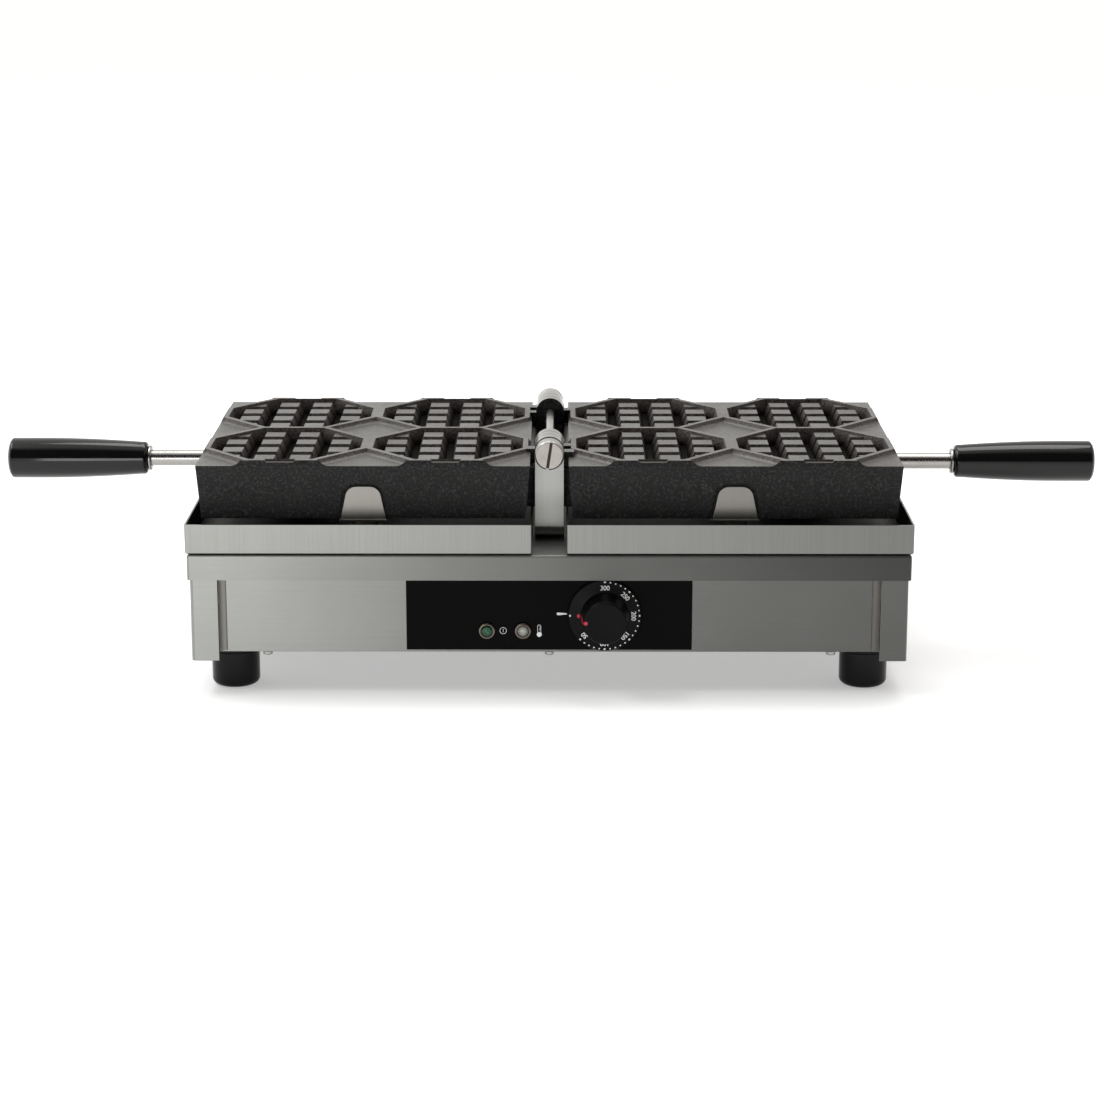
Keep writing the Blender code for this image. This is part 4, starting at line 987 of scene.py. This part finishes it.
def make_lamps():
    for lamp in ("power", "heating"):
        low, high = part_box(f"{lamp}_lamp_lens")
        lens = (high.x - low.x) / 2
        make_lamp_bezel(lamp, lens)
        make_lamp_lens(lamp, lens)


def flat_print(name, outlines):
    """Ink on the label: closed outlines of (x, z) points, raised by the ink's thickness."""
    bm = bmesh.new()
    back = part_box("label_plate")[0].y - INK_GAP
    for outline in outlines:
        prism(bm, [(x, back, z) for x, z in outline], (0, -INK_THICKNESS, 0))
    bmesh.ops.recalc_face_normals(bm, faces=bm.faces)
    put(name, mesh_from(bm, name), "white_ink", "housing")


def ring_outline(centre, radius, width):
    """A ring as one outline, cut by a slit too thin to see."""
    start, end, segments = 0, 359.5, 40
    outer = arc(radius, centre, start, end, segments)
    inner = arc(radius - width, centre, end, start, segments)
    return outer + inner


def make_label_print(origin):
    """The dial's pointer, a wedge to the left of the knob, and the lamps' icons."""
    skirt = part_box("thermostat_knob")[0].x
    z = origin.z + 0.0006
    tip, tip_half = skirt - 0.0008, 0.0004
    tail, tail_half = skirt - 0.0072, 0.0010
    wedge = [(tip, z - tip_half), (tip, z + tip_half), (tail, z + tail_half),
             *arc(tail_half, (tail, z), 90, 270, 6), (tail, z - tail_half)]
    flat_print("dial_pointer", [wedge])
    make_power_icon()
    make_heat_icon()


def box_outline(left, right, low, high):
    return [(left, low), (right, low), (right, high), (left, high)]


def icon_centre(lamp):
    low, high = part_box(f"{lamp}_lamp_bezel")
    return (low.x + high.x) / 2 + ICON_RIGHT, (low.z + high.z) / 2


def make_power_icon():
    """A stroke in a ring."""
    cx, cz = icon_centre("power")
    radius, stroke = 0.0025, 0.0013
    ring = ring_outline((cx, cz), radius, ICON_LINE)
    bar = box_outline(cx - ICON_LINE / 2, cx + ICON_LINE / 2, cz - stroke, cz + stroke)
    flat_print("power_icon", [ring, bar])


def make_heat_icon():
    """A thermometer: an outlined stem with a scale beside it, on a filled bulb."""
    cx, cz = icon_centre("heating")
    stem, bulb, line = 0.0013, 0.0018, ICON_LINE
    foot, head = cz - 0.0028, cz + 0.0032
    hip = foot + math.sqrt(bulb ** 2 - stem ** 2)
    shell = [(cx + stem, hip), *arc(stem, (cx, head), 0, 180, 10), (cx - stem, hip),
             (cx - stem + line, hip), *arc(stem - line, (cx, head), 180, 0, 10),
             (cx + stem - line, hip)]
    ball = arc(bulb, (cx, foot), 0, 345, 22)
    marks = [box_outline(cx, cx + stem - line * 1.2, z, z + line)
             for z in (cz + 0.0004, cz + 0.0016, cz + 0.0028)]
    flat_print("thermometer_icon", [shell, ball, *marks])


# ---------------------------------------------------------------- corner seams

def make_seams():
    """Steel beads that close the corners between the end panels and the side flanges."""
    panel_low, panel_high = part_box("front_panel")
    outer = panel_high.x + 0.0006
    face = abs(panel_low.y) + 0.0003
    low, high = panel_low.z + 0.0004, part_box("top_casing")[1].z - 0.004
    ridge = [(outer - 0.0053, 0.0), (outer - 0.0052, 0.0005), (outer - 0.0044, 0.0011),
             (outer - 0.0034, 0.0010), (outer - 0.0024, 0.0015), (outer - 0.0012, 0.0026),
             (outer - 0.0003, 0.0042), (outer, 0.0046), (outer, 0.0)]
    for end, side_y in (("front", -1), ("rear", 1)):
        for hand, side_x in (("left", -1), ("right", 1)):
            section = [(side_x * x, side_y * (face + y)) for x, y in ridge]
            bm = bmesh.new()
            prism(bm, [(x, y, low) for x, y in section], (0, 0, high - low))
            bmesh.ops.recalc_face_normals(bm, faces=bm.faces)
            name = f"{end}_{hand}_seam"
            put(name, smoothed(mesh_from(bm, name), 50), "seam_steel", "housing")


# ---------------------------------------------------------------- cable gland

def make_gland():
    """Cable gland: thread, flange and ribbed cap with an open bore."""
    low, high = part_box("cable_gland")
    middle = (low + high) / 2
    radius = (high.x - low.x) / 2
    depth = high.y - low.y
    bore, thread, seat, cap = 0.005, 0.008, 0.010, 0.0102
    ribs, rib_height, groove_depth = 18, 0.035, -0.4

    def ribbed(angle, along):
        """Grip ribs round the cap, none on the flange or the cap's mouth."""
        if along < seat + 0.0102 or along > depth - 0.0035:
            return 1.0
        return 1.0 + rib_height * max(groove_depth, math.cos(ribs * angle))

    profile = [(bore, 0), (thread, 0), (thread, seat), (radius, seat), (radius, seat + 0.0075),
               (radius - 0.0010, seat + 0.0085), (cap, seat + 0.0090), (cap, seat + 0.0104),
               (cap, depth - 0.0060), (cap - 0.0006, depth - 0.0030), (cap - 0.0022, depth - 0.0006),
               (cap - 0.0032, depth), (bore, depth)]
    turned_from("cable_gland", profile, (middle.x, low.y, middle.z), (0, 1, 0), 144, flutes=ribbed)


# ---------------------------------------------------------------- stage, light and camera

def light_table():
    """White sheet lit from above and a little from within, as under product shots."""
    material, tree = new_material("studio_floor")
    haze = noise(tree, place_in_object(tree), 2.0, 2.0, 0.5)
    base = mix_colours(tree, haze, grey(0.75), grey(0.74))
    surface(tree, {"Base Color": base, "Roughness": 0.9, "Specular IOR Level": 0.2,
                   "Emission Color": (1, 1, 1, 1), "Emission Strength": FLOOR_GLOW})
    return material


def make_floor():
    bm = bmesh.new()
    bmesh.ops.create_grid(bm, x_segments=4, y_segments=4, size=FLOOR_HALF)
    floor = bpy.data.objects.new("studio_floor", mesh_from(bm, "studio_floor"))
    floor.data.materials.append(light_table())
    bpy.context.scene.collection.objects.link(floor)


def area_light(name, place, aim, size, radiance):
    """A rectangular soft light of the given radiance."""
    light = bpy.data.lights.new(name, "AREA")
    light.shape = "RECTANGLE"
    light.size, light.size_y = size
    light.energy = radiance * math.pi * size[0] * size[1]
    obj = bpy.data.objects.new(name, light)
    obj.location = place
    obj.rotation_euler = (Vector(aim) - Vector(place)).to_track_quat("-Z", "Y").to_euler()
    bpy.context.scene.collection.objects.link(obj)


def make_world():
    """A bright tent behind, beside and above, brighter at the left, and a dark room in front.

    The dark room starts a little above the horizon, so that no view from behind shows it.
    """
    world = bpy.data.worlds.new("studio")
    bpy.context.scene.world = world
    world.use_nodes = True
    tree = world.node_tree
    tree.nodes.clear()
    x, y, z = parts_of(tree, add(tree, "ShaderNodeTexCoord").outputs["Generated"])
    tent = remap(tree, x, -0.7, 0.7, *TENT_LEFT_RIGHT)
    front = product(tree, remap(tree, y, *DARK_FRONT, 1.0, 0.0), remap(tree, z, *DARK_ABOVE, 0.0, 1.0))
    strength = add(tree, "ShaderNodeMix", {0: front, 2: tent, 3: ROOM_LEVEL}).outputs[0]
    colour = mix_colours(tree, remap(tree, x, -0.6, 0.6, 0.0, 1.0), LEFT_LIGHT, RIGHT_LIGHT)
    background = add(tree, "ShaderNodeBackground", {"Color": colour, "Strength": strength})
    add(tree, "ShaderNodeOutputWorld", {"Surface": background.outputs[0]})


def make_lights():
    make_world()
    area_light("key_strip", (-1.30, 0.0, 2.0), (0, 0, 0.1), (1.3, 0.4), 11.0)
    area_light("top_soft", (0.2, 0.6, 2.4), (0, 0, 0.1), (1.8, 1.2), 4.6)
    area_light("low_left", (-0.42, -1.30, 0.16), (-0.2, 0, 0.15), (0.44, 0.30), 5.0)


def make_camera():
    camera = bpy.data.cameras.new("camera")
    camera.lens = CAMERA_LENS
    camera.sensor_width = 36.0
    obj = bpy.data.objects.new("camera", camera)
    obj.location = CAMERA_PLACE
    obj.rotation_euler = (Vector(CAMERA_AIM) - Vector(CAMERA_PLACE)).to_track_quat("-Z", "Y").to_euler()
    bpy.context.scene.collection.objects.link(obj)
    bpy.context.scene.camera = obj


# ---------------------------------------------------------------- the scene

paint_cad_nodes()
soften_cad_nodes()
make_feet()
make_grips()
make_rods()
make_hinge_rod()
make_hinge_screws()
make_hinge_webs()
make_clip_nuts()
make_bolts()
make_bottom_screws()
dial_origin = make_knob()
make_dial(dial_origin)
make_zero_mark(dial_origin)
make_lamps()
make_label_print(dial_origin)
make_gland()
make_seams()
make_floor()
make_lights()
make_camera()
bpy.context.scene.view_settings.view_transform = "Standard"
